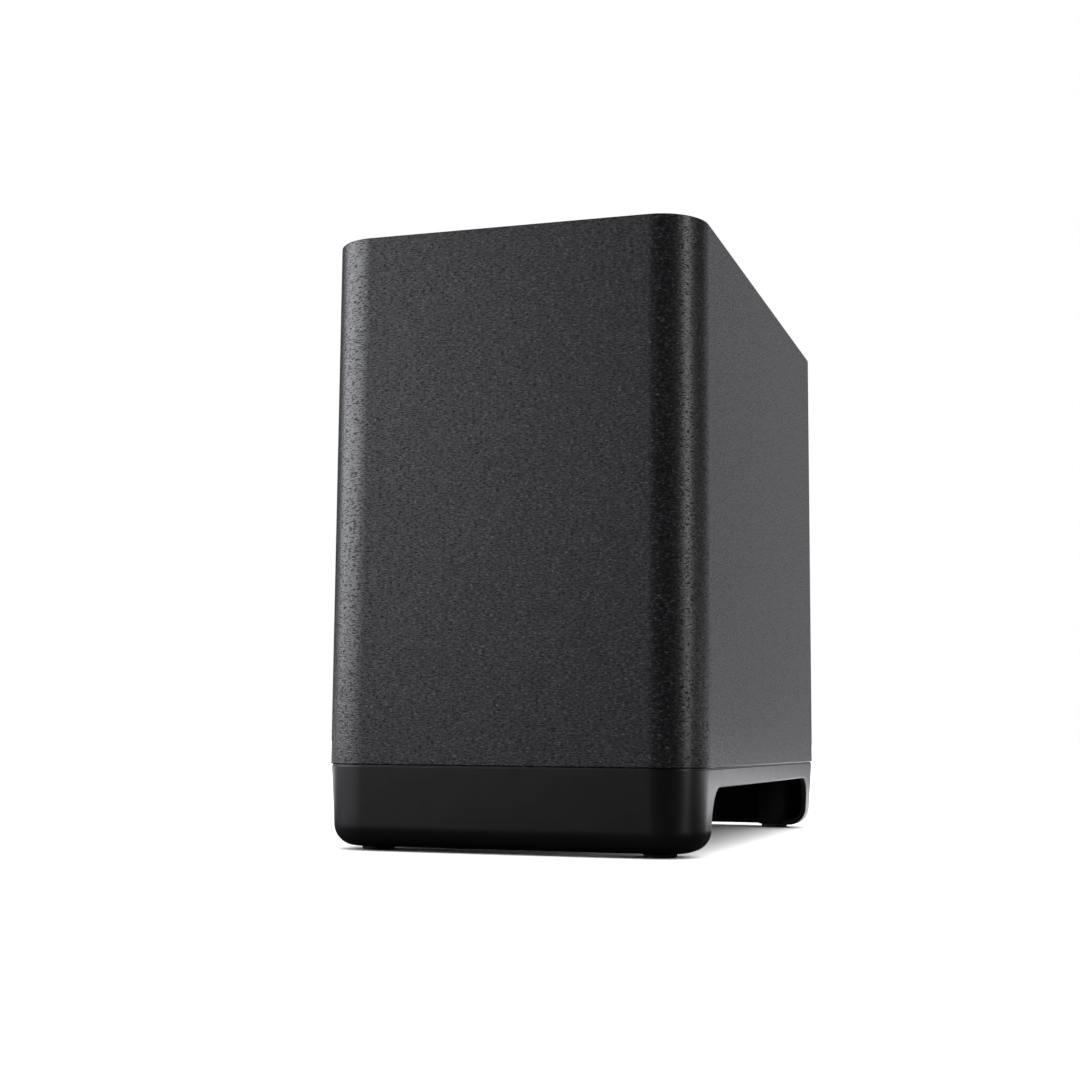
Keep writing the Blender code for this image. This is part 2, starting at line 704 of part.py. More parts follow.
def make_cone():
    steps = 4
    radii = [NECK_R + (CONE_LIP_R - NECK_R) * i / steps for i in range(steps + 1)]
    under = [(radius, cone_z(radius)) for radius in radii]
    over = [(radius, height + CONE_T) for radius, height in reversed(under)]
    rim = [(CONE_EDGE_R, FLANGE_BOTTOM), (CONE_EDGE_R, FLANGE_BOTTOM + CONE_T)]
    finish("woofer_cone", turned(under + rim + over), PAPER)


def make_dust_cap():
    rim_z = cone_z(CAP_R) - PLAY
    ball_r = (CAP_R**2 + CAP_RISE**2) / (2 * CAP_RISE)
    centre = rim_z - CAP_RISE + ball_r
    radii = [CAP_R * i / 4 for i in range(5)]
    under = [(r, centre - math.sqrt(ball_r**2 - r**2) - RUBBER_T) for r in radii]
    over = [(r, height + RUBBER_T) for r, height in reversed(under)]
    finish("woofer_dust_cap", turned(under + over, MOTOR_ROUND), PAPER)


def make_spider():
    inner = NECK_R
    wave_end = SPIDER_R - SPIDER_LAND
    steps = 12
    waves = 3
    under = [(inner, SPIDER_Z)]
    for i in range(1, steps):
        share = i / steps
        height = SPIDER_Z - SPIDER_WAVE * math.sin(math.tau * waves * share)
        under.append((inner + (wave_end - inner) * share, height))
    under += [(wave_end, SPIDER_Z), (SPIDER_R, SPIDER_Z)]
    over = [(radius, height + SPIDER_T) for radius, height in reversed(under)]
    finish("woofer_spider", turned(under + over, MOTOR_ROUND), CLOTH)


def make_former():
    low = NECK_Z - 2 * MM
    high = low + FORMER_LENGTH
    inner = COIL_R - FORMER_T
    profile = [(COIL_R, low), (COIL_R, high), (inner, high), (inner, low)]
    finish("voice_coil_former", turned(profile, MOTOR_ROUND), KAPTON)


def make_coil():
    high = NECK_Z - 2 * MM + FORMER_LENGTH - MM
    low = high - WINDING_LENGTH
    outer = NECK_R + WINDING_T
    profile = [(outer, low), (outer, high), (NECK_R, high), (NECK_R, low)]
    finish("voice_coil", turned(profile, MOTOR_ROUND), COPPER)


def make_motor():
    bore = NECK_R + WINDING_T + POLE_GAP
    top = MOTOR_Z + POLE_PLATE_T
    plate = [(PLATE_R, MOTOR_Z), (PLATE_R, top), (bore, top), (bore, MOTOR_Z)]
    finish("woofer_top_plate", turned(plate, MOTOR_ROUND), ZINC)
    top = MAGNET_Z + MAGNET_T
    edge = 1.5 * MM
    magnet = [
        (MAGNET_R - edge, MAGNET_Z),
        (MAGNET_R, MAGNET_Z + edge),
        (MAGNET_R, top - edge),
        (MAGNET_R - edge, top),
        (MAGNET_BORE_R, top),
        (MAGNET_BORE_R, MAGNET_Z),
    ]
    finish("woofer_magnet", turned(magnet, MOTOR_ROUND), FERRITE)
    pole_r = COIL_R - FORMER_T - POLE_GAP
    top = YOKE_Z + POLE_PLATE_T
    yoke = [
        (VENT_R, MOTOR_Z),
        (pole_r, MOTOR_Z),
        (pole_r, YOKE_Z),
        (YOKE_R, YOKE_Z),
        (YOKE_R, top - MM),
        (YOKE_R - MM, top),
        (VENT_R + 4 * MM, top),
        (VENT_R, top - 4 * MM),
    ]
    finish("woofer_yoke", turned(yoke, MOTOR_ROUND), ZINC)


TERMINAL_LOW = FRAME_WAIST_Z + 12 * MM
TERMINAL_HIGH = TERMINAL_LOW + 10 * MM
TERMINAL_HALF = 8 * MM
TERMINAL_IN = frame_r(TERMINAL_LOW) + PLAY
TERMINAL_OUT = TERMINAL_IN + 4 * MM


def make_terminal():
    low = (-TERMINAL_HALF, TERMINAL_IN, TERMINAL_LOW)
    high = (TERMINAL_HALF, TERMINAL_OUT, TERMINAL_HIGH)
    finish("woofer_terminal", block(low, high), BLACK_PLASTIC)


def make_tinsel_lead(name, side):
    mid_y = (TERMINAL_IN + TERMINAL_OUT) / 2
    mid_z = (TERMINAL_LOW + TERMINAL_HIGH) / 2
    bond_r = (NECK_R + CONE_LIP_R) / 2
    bond_z = cone_z(bond_r) + CONE_T + PLAY + LEAD_R
    bond = (side * 0.4 * bond_r, math.sqrt(0.84) * bond_r, bond_z + 0.6 * MM)
    window_r = frame_r(mid_z)
    window = (side * 0.5 * window_r, 0.866 * window_r, mid_z + MM)
    points = [
        (side * (TERMINAL_HALF + PLAY), mid_y, mid_z),
        (side * 0.34 * window_r, mid_y + 0.5 * MM, mid_z + MM),
        window,
        (window[0] * 0.82, window[1] * 0.78, mid_z + 2 * MM),
        bond,
    ]
    wire(name, points, LEAD_R, COPPER)


def make_woofer_screw(name, x, y):
    place = (x, y, FLANGE_BOTTOM - PLAY)
    length = WOOFER_SCREW_LENGTH - 3 * MM
    screw("woofer_screw_" + name, SCREW_HEAD_R, SCREW_HEAD_T, SCREW_R, length, place, (0, 0, 0))


# Amplifier module

INLET_X = -(PANEL_W / 2 - 34.5 * MM)
INLET_Z = PANEL_Z - 22 * MM
CONTROL_X = PANEL_W / 2 - 26 * MM
CONTROL_Z = PANEL_Z + 24 * MM
LENS_X = CONTROL_X - 11 * MM
PANEL_FRONT = PANEL_BACK + PANEL_T
BOARD_FRONT = PANEL_BACK - BOARD_DEPTH
BOARD_BACK = BOARD_FRONT - BOARD_T
BOARD_HALF = CUTOUT_W / 2 - COVER_T - 3 * MM
BOARD_REACH = CUTOUT_H / 2 - COVER_T - 3 * MM
RADIO_FRONT = PANEL_BACK - 11 * MM
POST_R = 3 * MM
POST_X = BOARD_HALF - 4 * MM
FLANGE_DISC_T = 1.2 * MM
SWITCH_T = 3.4 * MM
PLUNGER_R = 1.6 * MM


def make_panel():
    solid = rear_prism(PANEL_W, PANEL_H, PANEL_R, PANEL_Z, PANEL_BACK, PANEL_FRONT)
    panel = finish("amplifier_panel", solid, BLACK_PLASTIC)
    outside = DEPTH / 2 + WALL
    for side, end in CORNERS:
        post = cylinder(POST_R, BOARD_FRONT + PLAY, PANEL_BACK + MM, 12)
        place = (side * POST_X, 0, PANEL_Z + end * BOARD_REACH / 2)
        name = "board_post_" + CORNER_NAMES[side, end]
        combine(panel, tool(name, post, place, ALONG_Y), "UNION")
    for side in (-1, 1):
        post = cylinder(2 * MM, RADIO_FRONT + PLAY, PANEL_BACK + MM, 10)
        place = (LENS_X + 5.5 * MM + side * 3 * MM, 0, CONTROL_Z - 9 * MM)
        combine(panel, tool(f"radio_post_{side}", post, place, ALONG_Y), "UNION")
    socket = rounded_rectangle(INLET_W / 2 + PLAY, INLET_H / 2 + PLAY, 2 * MM, 3)
    rings = [
        [(INLET_X + x, y, INLET_Z + z) for x, z in socket]
        for y in (PANEL_BACK - MM, outside)
    ]
    combine(panel, tool("inlet_hole", loft(rings)))
    low = PANEL_BACK - MM
    button = cylinder(BUTTON_R + PLAY, low, outside, FOOT_ROUND)
    combine(panel, tool("button_hole", button, (CONTROL_X, 0, CONTROL_Z), ALONG_Y))
    lens = cylinder(LENS_R + PLAY, low, outside)
    combine(panel, tool("lens_hole", lens, (LENS_X, 0, CONTROL_Z), ALONG_Y))
    hole_r = PANEL_SCREW_R + PLAY
    for name, x, z in panel_screw_places():
        bore = [(0, low), (hole_r, low), (hole_r, PANEL_FRONT - COUNTERSINK)]
        bore += [(COUNTERSINK_R, PANEL_FRONT - COUNTERSINK), (COUNTERSINK_R, outside), (0, outside)]
        hole = tool("panel_hole_" + name, turned(bore, SMALL_ROUND), (x, 0, z), ALONG_Y)
        combine(panel, hole)


def make_panel_gasket():
    low = PANEL_SEAT + PLAY
    high = low + PANEL_GASKET_T
    solid = rear_prism(PANEL_W, PANEL_H, PANEL_R, PANEL_Z, low, high)
    gasket = finish("panel_gasket", solid, FOAM)
    inner = rear_prism(CUTOUT_W, CUTOUT_H, PANEL_R, PANEL_Z, low - WALL, high + WALL)
    combine(gasket, tool("gasket_opening", inner))
    for name, x, z in panel_screw_places():
        bore = cylinder(PANEL_SCREW_R + PLAY, low - WALL, high + WALL, 10)
        combine(gasket, tool("panel_gasket_hole_" + name, bore, (x, 0, z), ALONG_Y))


def make_panel_screw(name, x, z):
    seat = PANEL_FRONT - COUNTERSINK + PLAY
    length = seat - PANEL_SEAT + PANEL_SCREW_BITE
    size = (PANEL_SCREW_HEAD_R, PANEL_SCREW_HEAD_T, PANEL_SCREW_R, length)
    screw("panel_screw_" + name, *size, (x, seat, z), INTO_REAR, MM)


def make_inlet():
    front = PANEL_FRONT - PLAY
    back = front - INLET_DEPTH
    flange = PANEL_BACK - PLAY
    outline = rounded_rectangle(INLET_W / 2, INLET_H / 2, 1.7 * MM, 3)
    rings = [[(INLET_X + x, y, INLET_Z + z) for x, z in outline] for y in (back, front)]
    inlet = finish("mains_inlet", loft(rings), BLACK_PLASTIC)
    low = (INLET_X - INLET_W / 2 - 4 * MM, flange - 2 * MM, INLET_Z - INLET_H / 2 - MM)
    high = (INLET_X + INLET_W / 2 + 4 * MM, flange, INLET_Z + INLET_H / 2 + MM)
    combine(inlet, tool("inlet_flange", block(low, high)), "UNION")
    outline = rounded_rectangle(SOCKET_W / 2, SOCKET_H / 2, SOCKET_H / 2 - 0.01 * MM, 6)
    floor = front - SOCKET_DEPTH
    rings = [[(INLET_X + x, y, INLET_Z + z) for x, z in outline] for y in (floor, front + WALL)]
    combine(inlet, tool("inlet_socket", loft(rings)))
    for side in (-1, 1):
        hole = cylinder(PIN_R + PLAY, back - MM, floor + MM, 10)
        place = (INLET_X + side * PIN_PITCH / 2, 0, INLET_Z)
        combine(inlet, tool(f"pin_hole_{side}", hole, place, ALONG_Y))


def make_inlet_pin(name, side):
    tip = PANEL_FRONT - PLAY - 1.5 * MM
    tail = PANEL_FRONT - PLAY - INLET_DEPTH - 5 * MM
    profile = [(0, tail), (PIN_R, tail), (PIN_R, tip - 0.6 * MM), (PIN_R / 2, tip), (0, tip)]
    place = (INLET_X + side * PIN_PITCH / 2, 0, INLET_Z)
    finish(name, turned(profile, 12), ZINC, place, ALONG_Y)


PLUNGER_TIP = RADIO_FRONT + PLAY + SWITCH_T + BUTTON_TRAVEL + PLAY


def make_button():
    """The cap, whose flange behind the panel keeps it in."""
    face = PANEL_FRONT + 0.2 * MM
    flange = PANEL_BACK - PLAY
    stem = PLUNGER_TIP + PLAY
    profile = [(0, stem), (PLUNGER_R, stem), (PLUNGER_R, flange - FLANGE_DISC_T)]
    profile += [(BUTTON_R + MM, flange - FLANGE_DISC_T), (BUTTON_R + MM, flange)]
    profile += [(BUTTON_R, flange), (BUTTON_R, face - 0.6 * MM)]
    profile += [(BUTTON_R - 0.6 * MM, face), (BUTTON_R - 1.4 * MM, face), (0, face - 0.4 * MM)]
    origin = (CONTROL_X, 0, CONTROL_Z)
    finish("pairing_button", turned(profile, FOOT_ROUND), BLACK_PLASTIC, origin, ALONG_Y)


def make_switch():
    floor = RADIO_FRONT + PLAY
    place = (CONTROL_X, 0, CONTROL_Z)
    well = floor + 1.2 * MM
    half = 3 * MM
    low = (CONTROL_X - half, floor, CONTROL_Z - half)
    high = (CONTROL_X + half, floor + SWITCH_T, CONTROL_Z + half)
    switch = finish("button_switch", block(low, high), BLACK_PLASTIC)
    hole = cylinder(PLUNGER_R + PLAY, well, floor + WALL, 12)
    combine(switch, tool("plunger_well", hole, place, ALONG_Y))
    plunger = cylinder(PLUNGER_R, well + BUTTON_TRAVEL + PLAY, PLUNGER_TIP, 12)
    finish("switch_plunger", plunger, RUBBER, place, ALONG_Y)


def make_status_light():
    floor = RADIO_FRONT + PLAY
    led_top = floor + 2.4 * MM
    low = (LENS_X - 1.4 * MM, floor, CONTROL_Z - 1.4 * MM)
    high = (LENS_X + 1.4 * MM, led_top, CONTROL_Z + 1.4 * MM)
    finish("status_led", block(low, high), LENS)
    tail = led_top + PLAY
    face = PANEL_FRONT
    collar = PANEL_BACK - PLAY
    profile = [(0, tail), (LENS_R, tail), (LENS_R, collar - MM), (LENS_R + 0.8 * MM, collar - MM)]
    profile += [(LENS_R + 0.8 * MM, collar), (LENS_R, collar), (LENS_R, face - 0.3 * MM)]
    profile += [(LENS_R - 0.5 * MM, face), (0, face)]
    finish("status_lens", turned(profile, SMALL_ROUND), LENS, (LENS_X, 0, CONTROL_Z), ALONG_Y)


def make_boards():
    split = 0.8 * MM
    low = (-BOARD_HALF, BOARD_BACK, PANEL_Z - BOARD_REACH)
    finish("power_supply_board", block(low, (BOARD_HALF, BOARD_FRONT, PANEL_Z - split)), CIRCUIT)
    high = (BOARD_HALF, BOARD_FRONT, PANEL_Z + BOARD_REACH)
    finish("amplifier_board", block((-BOARD_HALF, BOARD_BACK, PANEL_Z + split), high), CIRCUIT)


def make_power_parts():
    """Laid out from the right-hand post: first the capacitor, then the transformer."""
    floor = BOARD_FRONT + PLAY
    middle_z = PANEL_Z - BOARD_REACH / 2
    radius = 9 * MM
    length = 18 * MM
    centre_x = POST_X - POST_R - MM - radius
    profile = [(0, 0), (radius, 0), (radius, length - MM), (radius - MM, length), (0, length)]
    can = turned(profile, FOOT_ROUND)
    finish("bulk_capacitor", can, BLACK_PLASTIC, (centre_x, floor, middle_z), ALONG_Y)
    right = centre_x - radius - 3 * MM
    left = right - 26 * MM
    core = block((left, floor, middle_z - 12 * MM), (right, floor + 8 * MM, middle_z + 12 * MM))
    transformer = finish("mains_transformer", core, FERRITE)
    low = (left + 3 * MM, floor + 4 * MM, middle_z - 9 * MM)
    winding = block(low, (right - 3 * MM, floor + length, middle_z + 9 * MM))
    combine(transformer, tool("transformer_winding", winding), "UNION")


def make_heat_sink():
    floor = BOARD_FRONT + PLAY
    fins = 6
    pitch = 6 * MM
    fin = 2 * MM
    base = 3 * MM
    rise = 18 * MM
    low_z = PANEL_Z + 6 * MM
    high_z = PANEL_Z + BOARD_REACH - 4 * MM
    left = -fins * pitch / 2
    points = [(left, 0)]
    for i in range(fins):
        start = left + i * pitch
        points += [(start, rise), (start + fin, rise), (start + fin, base)]
        points += [(start + pitch, base)] if i < fins - 1 else []
    points += [(points[-1][0], 0)]
    rings = [[(x, floor + y, z) for x, y in points] for z in (low_z, high_z)]
    finish("heat_sink", loft(rings), ALUMINIUM)


def make_radio():
    low = (LENS_X - 6 * MM, RADIO_FRONT - BOARD_T, CONTROL_Z - 12 * MM)
    high = (CONTROL_X + 6 * MM, RADIO_FRONT, CONTROL_Z + 8 * MM)
    radio = finish("wireless_module", block(low, high), CIRCUIT)
    low = (LENS_X - 3 * MM, RADIO_FRONT - BOARD_T - 2.5 * MM, CONTROL_Z - 9 * MM)
    high = (CONTROL_X + 3 * MM, RADIO_FRONT - BOARD_T / 2, CONTROL_Z + 5 * MM)
    combine(radio, tool("radio_can", block(low, high)), "UNION")


COVER_BACK = PANEL_BACK - PLAY - COVER_DEPTH
LEAD_OUT = (CUTOUT_W / 2 - 26 * MM, PANEL_Z - 8 * MM)


def make_cover():
    """A five-sided box, open towards the panel."""
    width = CUTOUT_W - 4 * PLAY
    height = CUTOUT_H - 4 * PLAY
    radius = PANEL_R - 2 * PLAY
    rim = PANEL_BACK - PLAY
    solid = rear_prism(width, height, radius, PANEL_Z, COVER_BACK, rim)
    cover = finish("amplifier_cover", solid, BLACK_PLASTIC)
    inside = rear_prism(
        width - 2 * COVER_T,
        height - 2 * COVER_T,
        radius - COVER_T,
        PANEL_Z,
        COVER_BACK + COVER_T,
        rim + WALL,
    )
    combine(cover, tool("cover_inside", inside))
    hole = cylinder(CABLE_R + 2 * PLAY, COVER_BACK - WALL, COVER_BACK + WALL, 12)
    combine(cover, tool("lead_hole", hole, (LEAD_OUT[0], 0, LEAD_OUT[1]), ALONG_Y))


def make_speaker_lead():
    mid_z = (TERMINAL_LOW + TERMINAL_HIGH) / 2
    start = TERMINAL_OUT + 2 * PLAY
    x, z = LEAD_OUT
    room = COVER_BACK - start
    points = [
        (0, start, mid_z),
        (0, start + 0.25 * room, mid_z),
        (0.5 * x, start + 0.5 * room, (mid_z + z) / 2),
        (x, COVER_BACK - 0.25 * room, z),
        (x, COVER_BACK + COVER_T / 2, z),
        (x, BOARD_BACK - PLAY, z),
    ]
    wire("speaker_lead", points, CABLE_R, RUBBER)


make_plinth()
make_plinth_gasket("plinth_gasket_front", -1)
make_plinth_gasket("plinth_gasket_rear", 1)
for corner in CORNERS:
    make_foot(*corner)
    make_plinth_screw(*corner)

make_wrap()
make_shell()
make_top_panel()
make_baffle()
make_brace()
make_wadding()
make_port()

make_basket()
make_woofer_gasket()
make_surround()
make_cone()
make_dust_cap()
make_spider()
make_former()
make_coil()
make_motor()
make_terminal()
make_tinsel_lead("tinsel_lead_left", -1)
make_tinsel_lead("tinsel_lead_right", 1)
for spot in screw_places():
    make_woofer_screw(*spot)

make_panel()
make_panel_gasket()
for spot in panel_screw_places():
    make_panel_screw(*spot)
make_inlet()
make_inlet_pin("inlet_pin_left", -1)
make_inlet_pin("inlet_pin_right", 1)
make_button()
make_switch()
make_status_light()
make_boards()
make_power_parts()
make_heat_sink()
make_radio()
make_cover()
make_speaker_lead()
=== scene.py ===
"""Looks of the wireless subwoofer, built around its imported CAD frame.

Metres, +Z up. The origin is on the floor, under the middle of the cabinet. The front faces -Y.
"""

import math

import bmesh
import bpy
from mathutils import Matrix, Vector
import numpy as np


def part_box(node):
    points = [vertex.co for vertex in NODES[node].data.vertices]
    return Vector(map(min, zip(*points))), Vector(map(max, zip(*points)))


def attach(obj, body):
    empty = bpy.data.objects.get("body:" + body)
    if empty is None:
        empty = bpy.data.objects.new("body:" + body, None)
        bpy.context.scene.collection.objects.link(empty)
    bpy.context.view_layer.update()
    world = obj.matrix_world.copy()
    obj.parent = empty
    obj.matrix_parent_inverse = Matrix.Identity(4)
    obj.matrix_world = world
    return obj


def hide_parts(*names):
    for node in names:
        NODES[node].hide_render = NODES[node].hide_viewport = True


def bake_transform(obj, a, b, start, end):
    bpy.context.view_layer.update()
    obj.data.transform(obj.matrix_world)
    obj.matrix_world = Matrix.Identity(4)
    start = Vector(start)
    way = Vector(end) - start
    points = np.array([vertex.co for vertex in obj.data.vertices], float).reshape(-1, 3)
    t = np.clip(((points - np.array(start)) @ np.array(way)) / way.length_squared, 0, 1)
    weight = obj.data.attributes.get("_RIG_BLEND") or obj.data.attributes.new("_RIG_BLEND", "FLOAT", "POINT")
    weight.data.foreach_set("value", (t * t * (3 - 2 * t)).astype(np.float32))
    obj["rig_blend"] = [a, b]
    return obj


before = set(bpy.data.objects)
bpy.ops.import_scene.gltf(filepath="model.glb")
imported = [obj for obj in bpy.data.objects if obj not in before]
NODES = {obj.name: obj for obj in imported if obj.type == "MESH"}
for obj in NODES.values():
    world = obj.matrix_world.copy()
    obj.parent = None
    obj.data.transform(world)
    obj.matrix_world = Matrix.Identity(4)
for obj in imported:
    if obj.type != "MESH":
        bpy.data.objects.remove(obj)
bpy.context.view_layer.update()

MM = 0.001
PLAY = 0.3 * MM  # gap between pieces that fit into each other


def middle(node):
    low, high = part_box(node)
    return [(start + end) / 2 for start, end in zip(low, high)]


def half_size(node):
    low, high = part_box(node)
    return [(end - start) / 2 for start, end in zip(low, high)]


# Sizes read from the frame
WRAP_LOW, WRAP_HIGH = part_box("cabinet_wrap")
PLINTH_LOW, PLINTH_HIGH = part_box("base_plinth")
PORT_LOW, PORT_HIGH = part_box("port_tube")
INLET_LOW, INLET_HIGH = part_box("mains_inlet")
BUTTON_LOW, BUTTON_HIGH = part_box("pairing_button")
LENS_LOW, LENS_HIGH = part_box("status_lens")
BASKET_LOW, BASKET_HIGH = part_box("woofer_basket")
SPIDER_LOW, SPIDER_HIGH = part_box("woofer_spider")
CONE_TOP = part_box("woofer_cone")[1].z
ROLL_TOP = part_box("woofer_surround")[1].z
WIDTH = WRAP_HIGH.x - WRAP_LOW.x
DEPTH = WRAP_HIGH.y - WRAP_LOW.y
HEIGHT = WRAP_HIGH.z
FOOT_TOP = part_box("foot_front_right")[1].z
FOOT_X = middle("foot_front_right")[0]
FOOT_Y = -middle("foot_front_right")[1]
FOOT_R = half_size("foot_front_right")[0]
CORNER_R = WIDTH / 2 - FOOT_X
CORNERS = [(side, end) for side in (-1, 1) for end in (-1, 1)]
CORNER_NAMES = {
    (-1, -1): "front_left",
    (1, -1): "front_right",
    (-1, 1): "rear_left",
    (1, 1): "rear_right",
}

# Facets: steps of a quarter turn on the cabinet's corners, and of full turns elsewhere
CORNER_STEPS = 24
ROLL_ROUND = 120
ROUND = 96
BUTTON_ROUND = 48
SMALL_ROUND = 40
SCREW_ROUND = 28
BORE_ROUND = 24

# Mesh finish
WELD = 1e-7  # vertices closer than this are merged
SHARP_ANGLE = 32  # degrees between faces, above which an edge stays sharp
FLAT_WEIGHT = 80  # pull of wide faces on the normals


# Shader helpers

NOISE_GRAIN = 0.5  # width of a noise grain at a scale of 1
NOISE_SPAN = (0.3, 0.7)  # most noise values lie in here
WAVE_PITCH = 0.314  # length of a wave at a scale of 1


class Paint:
    """A Principled material with the few nodes that the recipes below share."""

    def __init__(self, name, **values):
        self.material = bpy.data.materials.new(name)
        self.material.use_nodes = True
        self.tree = self.material.node_tree
        self.shader = self.tree.nodes["Principled BSDF"]
        self.place = self.tree.nodes.new("ShaderNodeTexCoord").outputs["Object"]
        for socket, value in values.items():
            self.shader.inputs[socket.replace("_", " ")].default_value = value

    def link(self, source, target):
        self.tree.links.new(source, target)

    def stretched(self, scale):
        """Coordinates squeezed along each axis by scale."""
        node = self.tree.nodes.new("ShaderNodeMapping")
        node.inputs["Scale"].default_value = scale
        self.link(self.place, node.inputs["Vector"])
        return node.outputs["Vector"]

    def noise(self, size, detail=2.0, roughness=0.5, stretch=(1, 1, 1), distortion=0.0):
        """Noise whose grains are about size across, in metres."""
        node = self.tree.nodes.new("ShaderNodeTexNoise")
        node.inputs["Scale"].default_value = NOISE_GRAIN / size
        node.inputs["Detail"].default_value = detail
        node.inputs["Roughness"].default_value = roughness
        node.inputs["Distortion"].default_value = distortion
        self.link(self.stretched(stretch), node.inputs["Vector"])
        return node.outputs["Fac"]

    def cells(self, size):
        node = self.tree.nodes.new("ShaderNodeTexVoronoi")
        node.inputs["Scale"].default_value = 1 / size
        self.link(self.stretched((1, 1, 1)), node.inputs["Vector"])
        return node.outputs["Distance"]

    def wave(self, pitch, direction, distortion):
        node = self.tree.nodes.new("ShaderNodeTexWave")
        node.bands_direction = direction
        node.inputs["Scale"].default_value = WAVE_PITCH / pitch
        node.inputs["Distortion"].default_value = distortion
        self.link(self.place, node.inputs["Vector"])
        return node.outputs["Fac"]

    def ramp(self, source, stops):
        """Colours along source, from (position, grey or colour) stops."""
        node = self.tree.nodes.new("ShaderNodeValToRGB")
        elements = node.color_ramp.elements
        while len(elements) < len(stops):
            elements.new(0.5)
        for element, (position, colour) in zip(elements, stops):
            element.position = position
            grey = isinstance(colour, (int, float))
            element.color = (colour, colour, colour, 1) if grey else (*colour, 1)
        self.link(source, node.inputs["Fac"])
        return node.outputs["Color"]

    def blend(self, first, second, factor, mode="MIX"):
        node = self.tree.nodes.new("ShaderNodeMix")
        node.data_type = "RGBA"
        node.blend_type = mode
        node.inputs["Factor"].default_value = factor
        self.link(first, node.inputs["A"])
        self.link(second, node.inputs["B"])
        return node.outputs["Result"]

    def colour(self, source):
        self.link(source, self.shader.inputs["Base Color"])
        return self

    def rough(self, source, low, high):
        """Roughness from low to high along source."""
        node = self.tree.nodes.new("ShaderNodeMapRange")
        node.inputs["From Min"].default_value = NOISE_SPAN[0]
        node.inputs["From Max"].default_value = NOISE_SPAN[1]
        node.inputs["To Min"].default_value = low
        node.inputs["To Max"].default_value = high
        self.link(source, node.inputs["Value"])
        self.link(node.outputs["Result"], self.shader.inputs["Roughness"])
        return self

    def bump(self, *layers):
        """Relief from (source, depth in metres) layers."""
        normal = None
        for source, depth in layers:
            node = self.tree.nodes.new("ShaderNodeBump")
            node.inputs["Strength"].default_value = 1.0
            node.inputs["Distance"].default_value = depth
            self.link(source, node.inputs["Height"])
            if normal:
                self.link(normal, node.inputs["Normal"])
            normal = node.outputs["Normal"]
        self.link(normal, self.shader.inputs["Normal"])
        return self


# Materials


def heather_wrap():
    """Charcoal heather: short level fibres, lighter and darker ones mixed, with gaps between that hold
    painted shade, in colour and in reflection.
    """
    paint = Paint("heather_wrap", Specular_IOR_Level=0.7)
    fibre = paint.noise(0.75 * MM, 3, 0.62, (0.9, 0.9, 2.2), 0.4)
    fleck = paint.noise(0.5 * MM, 1, 0.5, (0.8, 0.8, 1.8))
    mottle = paint.noise(5 * MM, 3, 0.6)
    space = paint.noise(0.58 * MM, 2, 0.6, (0.55, 0.55, 1.9))
    gaps = paint.ramp(space, [(0.36, 0.0), (0.5, 1.0)])
    ground = paint.ramp(
        fibre,
        [
            (0.35, (0.003, 0.003, 0.0032)),
            (0.5, (0.015, 0.015, 0.0165)),
            (0.66, (0.07, 0.071, 0.076)),
        ],
    )
    pale = paint.ramp(fleck, [(0.35, 0.5), (0.55, 1.0), (0.7, 3.0)])
    colour = paint.blend(ground, pale, 1.0, "MULTIPLY")
    cloud = paint.ramp(mottle, [(0.3, (0.86, 0.88, 0.92)), (0.7, (1.12, 1.08, 1.06))])
    colour = paint.blend(colour, cloud, 1.0, "MULTIPLY")
    # painted shade: the gaps darken the colour
    colour = paint.blend(colour, gaps, 0.9, "MULTIPLY")
    paint.colour(colour).rough(gaps, 0.6, 0.33)
    # painted shade: the gaps dim the reflection through the specular tint
    gap_shade_tint = paint.ramp(space, [(0.36, 0.36), (0.5, 1.0)])
    paint.link(gap_shade_tint, paint.shader.inputs["Specular Tint"])
    paint.bump((mottle, 0.02 * MM), (fibre, 0.09 * MM), (fleck, 0.06 * MM), (gaps, 0.012 * MM))
    return paint.material


def moulded(name, colour, rough, grain, depth, specular=0.5):
    """Moulded plastic with a fine grain, faint flow marks and uneven gloss."""
    paint = Paint(name, Specular_IOR_Level=specular)
    dark = tuple(0.8 * c for c in colour)
    light = tuple(1.25 * c for c in colour)
    flow = paint.noise(30 * MM, 3, 0.6)
    skin = paint.noise(grain, 2, 0.6)
    paint.colour(paint.ramp(flow, [(0.3, dark), (0.7, light)]))
    paint.rough(paint.noise(6 * MM, 4, 0.65), rough - 0.02, rough + 0.03)
    paint.bump((flow, 0.004 * MM), (skin, depth))
    return paint.material


def rubber():
    paint = Paint("rubber", Specular_IOR_Level=0.4)
    dust = paint.noise(3 * MM, 4, 0.7)
    paint.colour(paint.ramp(dust, [(0.35, 0.008), (0.6, 0.016), (0.75, 0.03)]))
    paint.rough(dust, 0.6, 0.85).bump((paint.noise(0.25 * MM, 2, 0.6), 0.02 * MM))
    return paint.material


def foam():
    paint = Paint("foam")
    pores = paint.cells(0.9 * MM)
    paint.colour(paint.ramp(pores, [(0.1, 0.045), (0.6, 0.012)]))
    paint.rough(pores, 0.85, 1.0).bump((pores, 0.3 * MM))
    return paint.material


def fibreboard(name, dark, light):
    paint = Paint(name)
    fibre = paint.noise(0.7 * MM, 4, 0.7, (1, 1, 4))
    layer = paint.noise(3 * MM, 2, 0.5, (0.2, 0.2, 3))
    ground = paint.ramp(fibre, [(0.35, dark), (0.65, light)])
    shade = paint.ramp(layer, [(0.3, 0.85), (0.7, 1.1)])
    paint.colour(paint.blend(ground, shade, 1.0, "MULTIPLY"))
    paint.rough(fibre, 0.75, 0.95).bump((fibre, 0.1 * MM))
    return paint.material


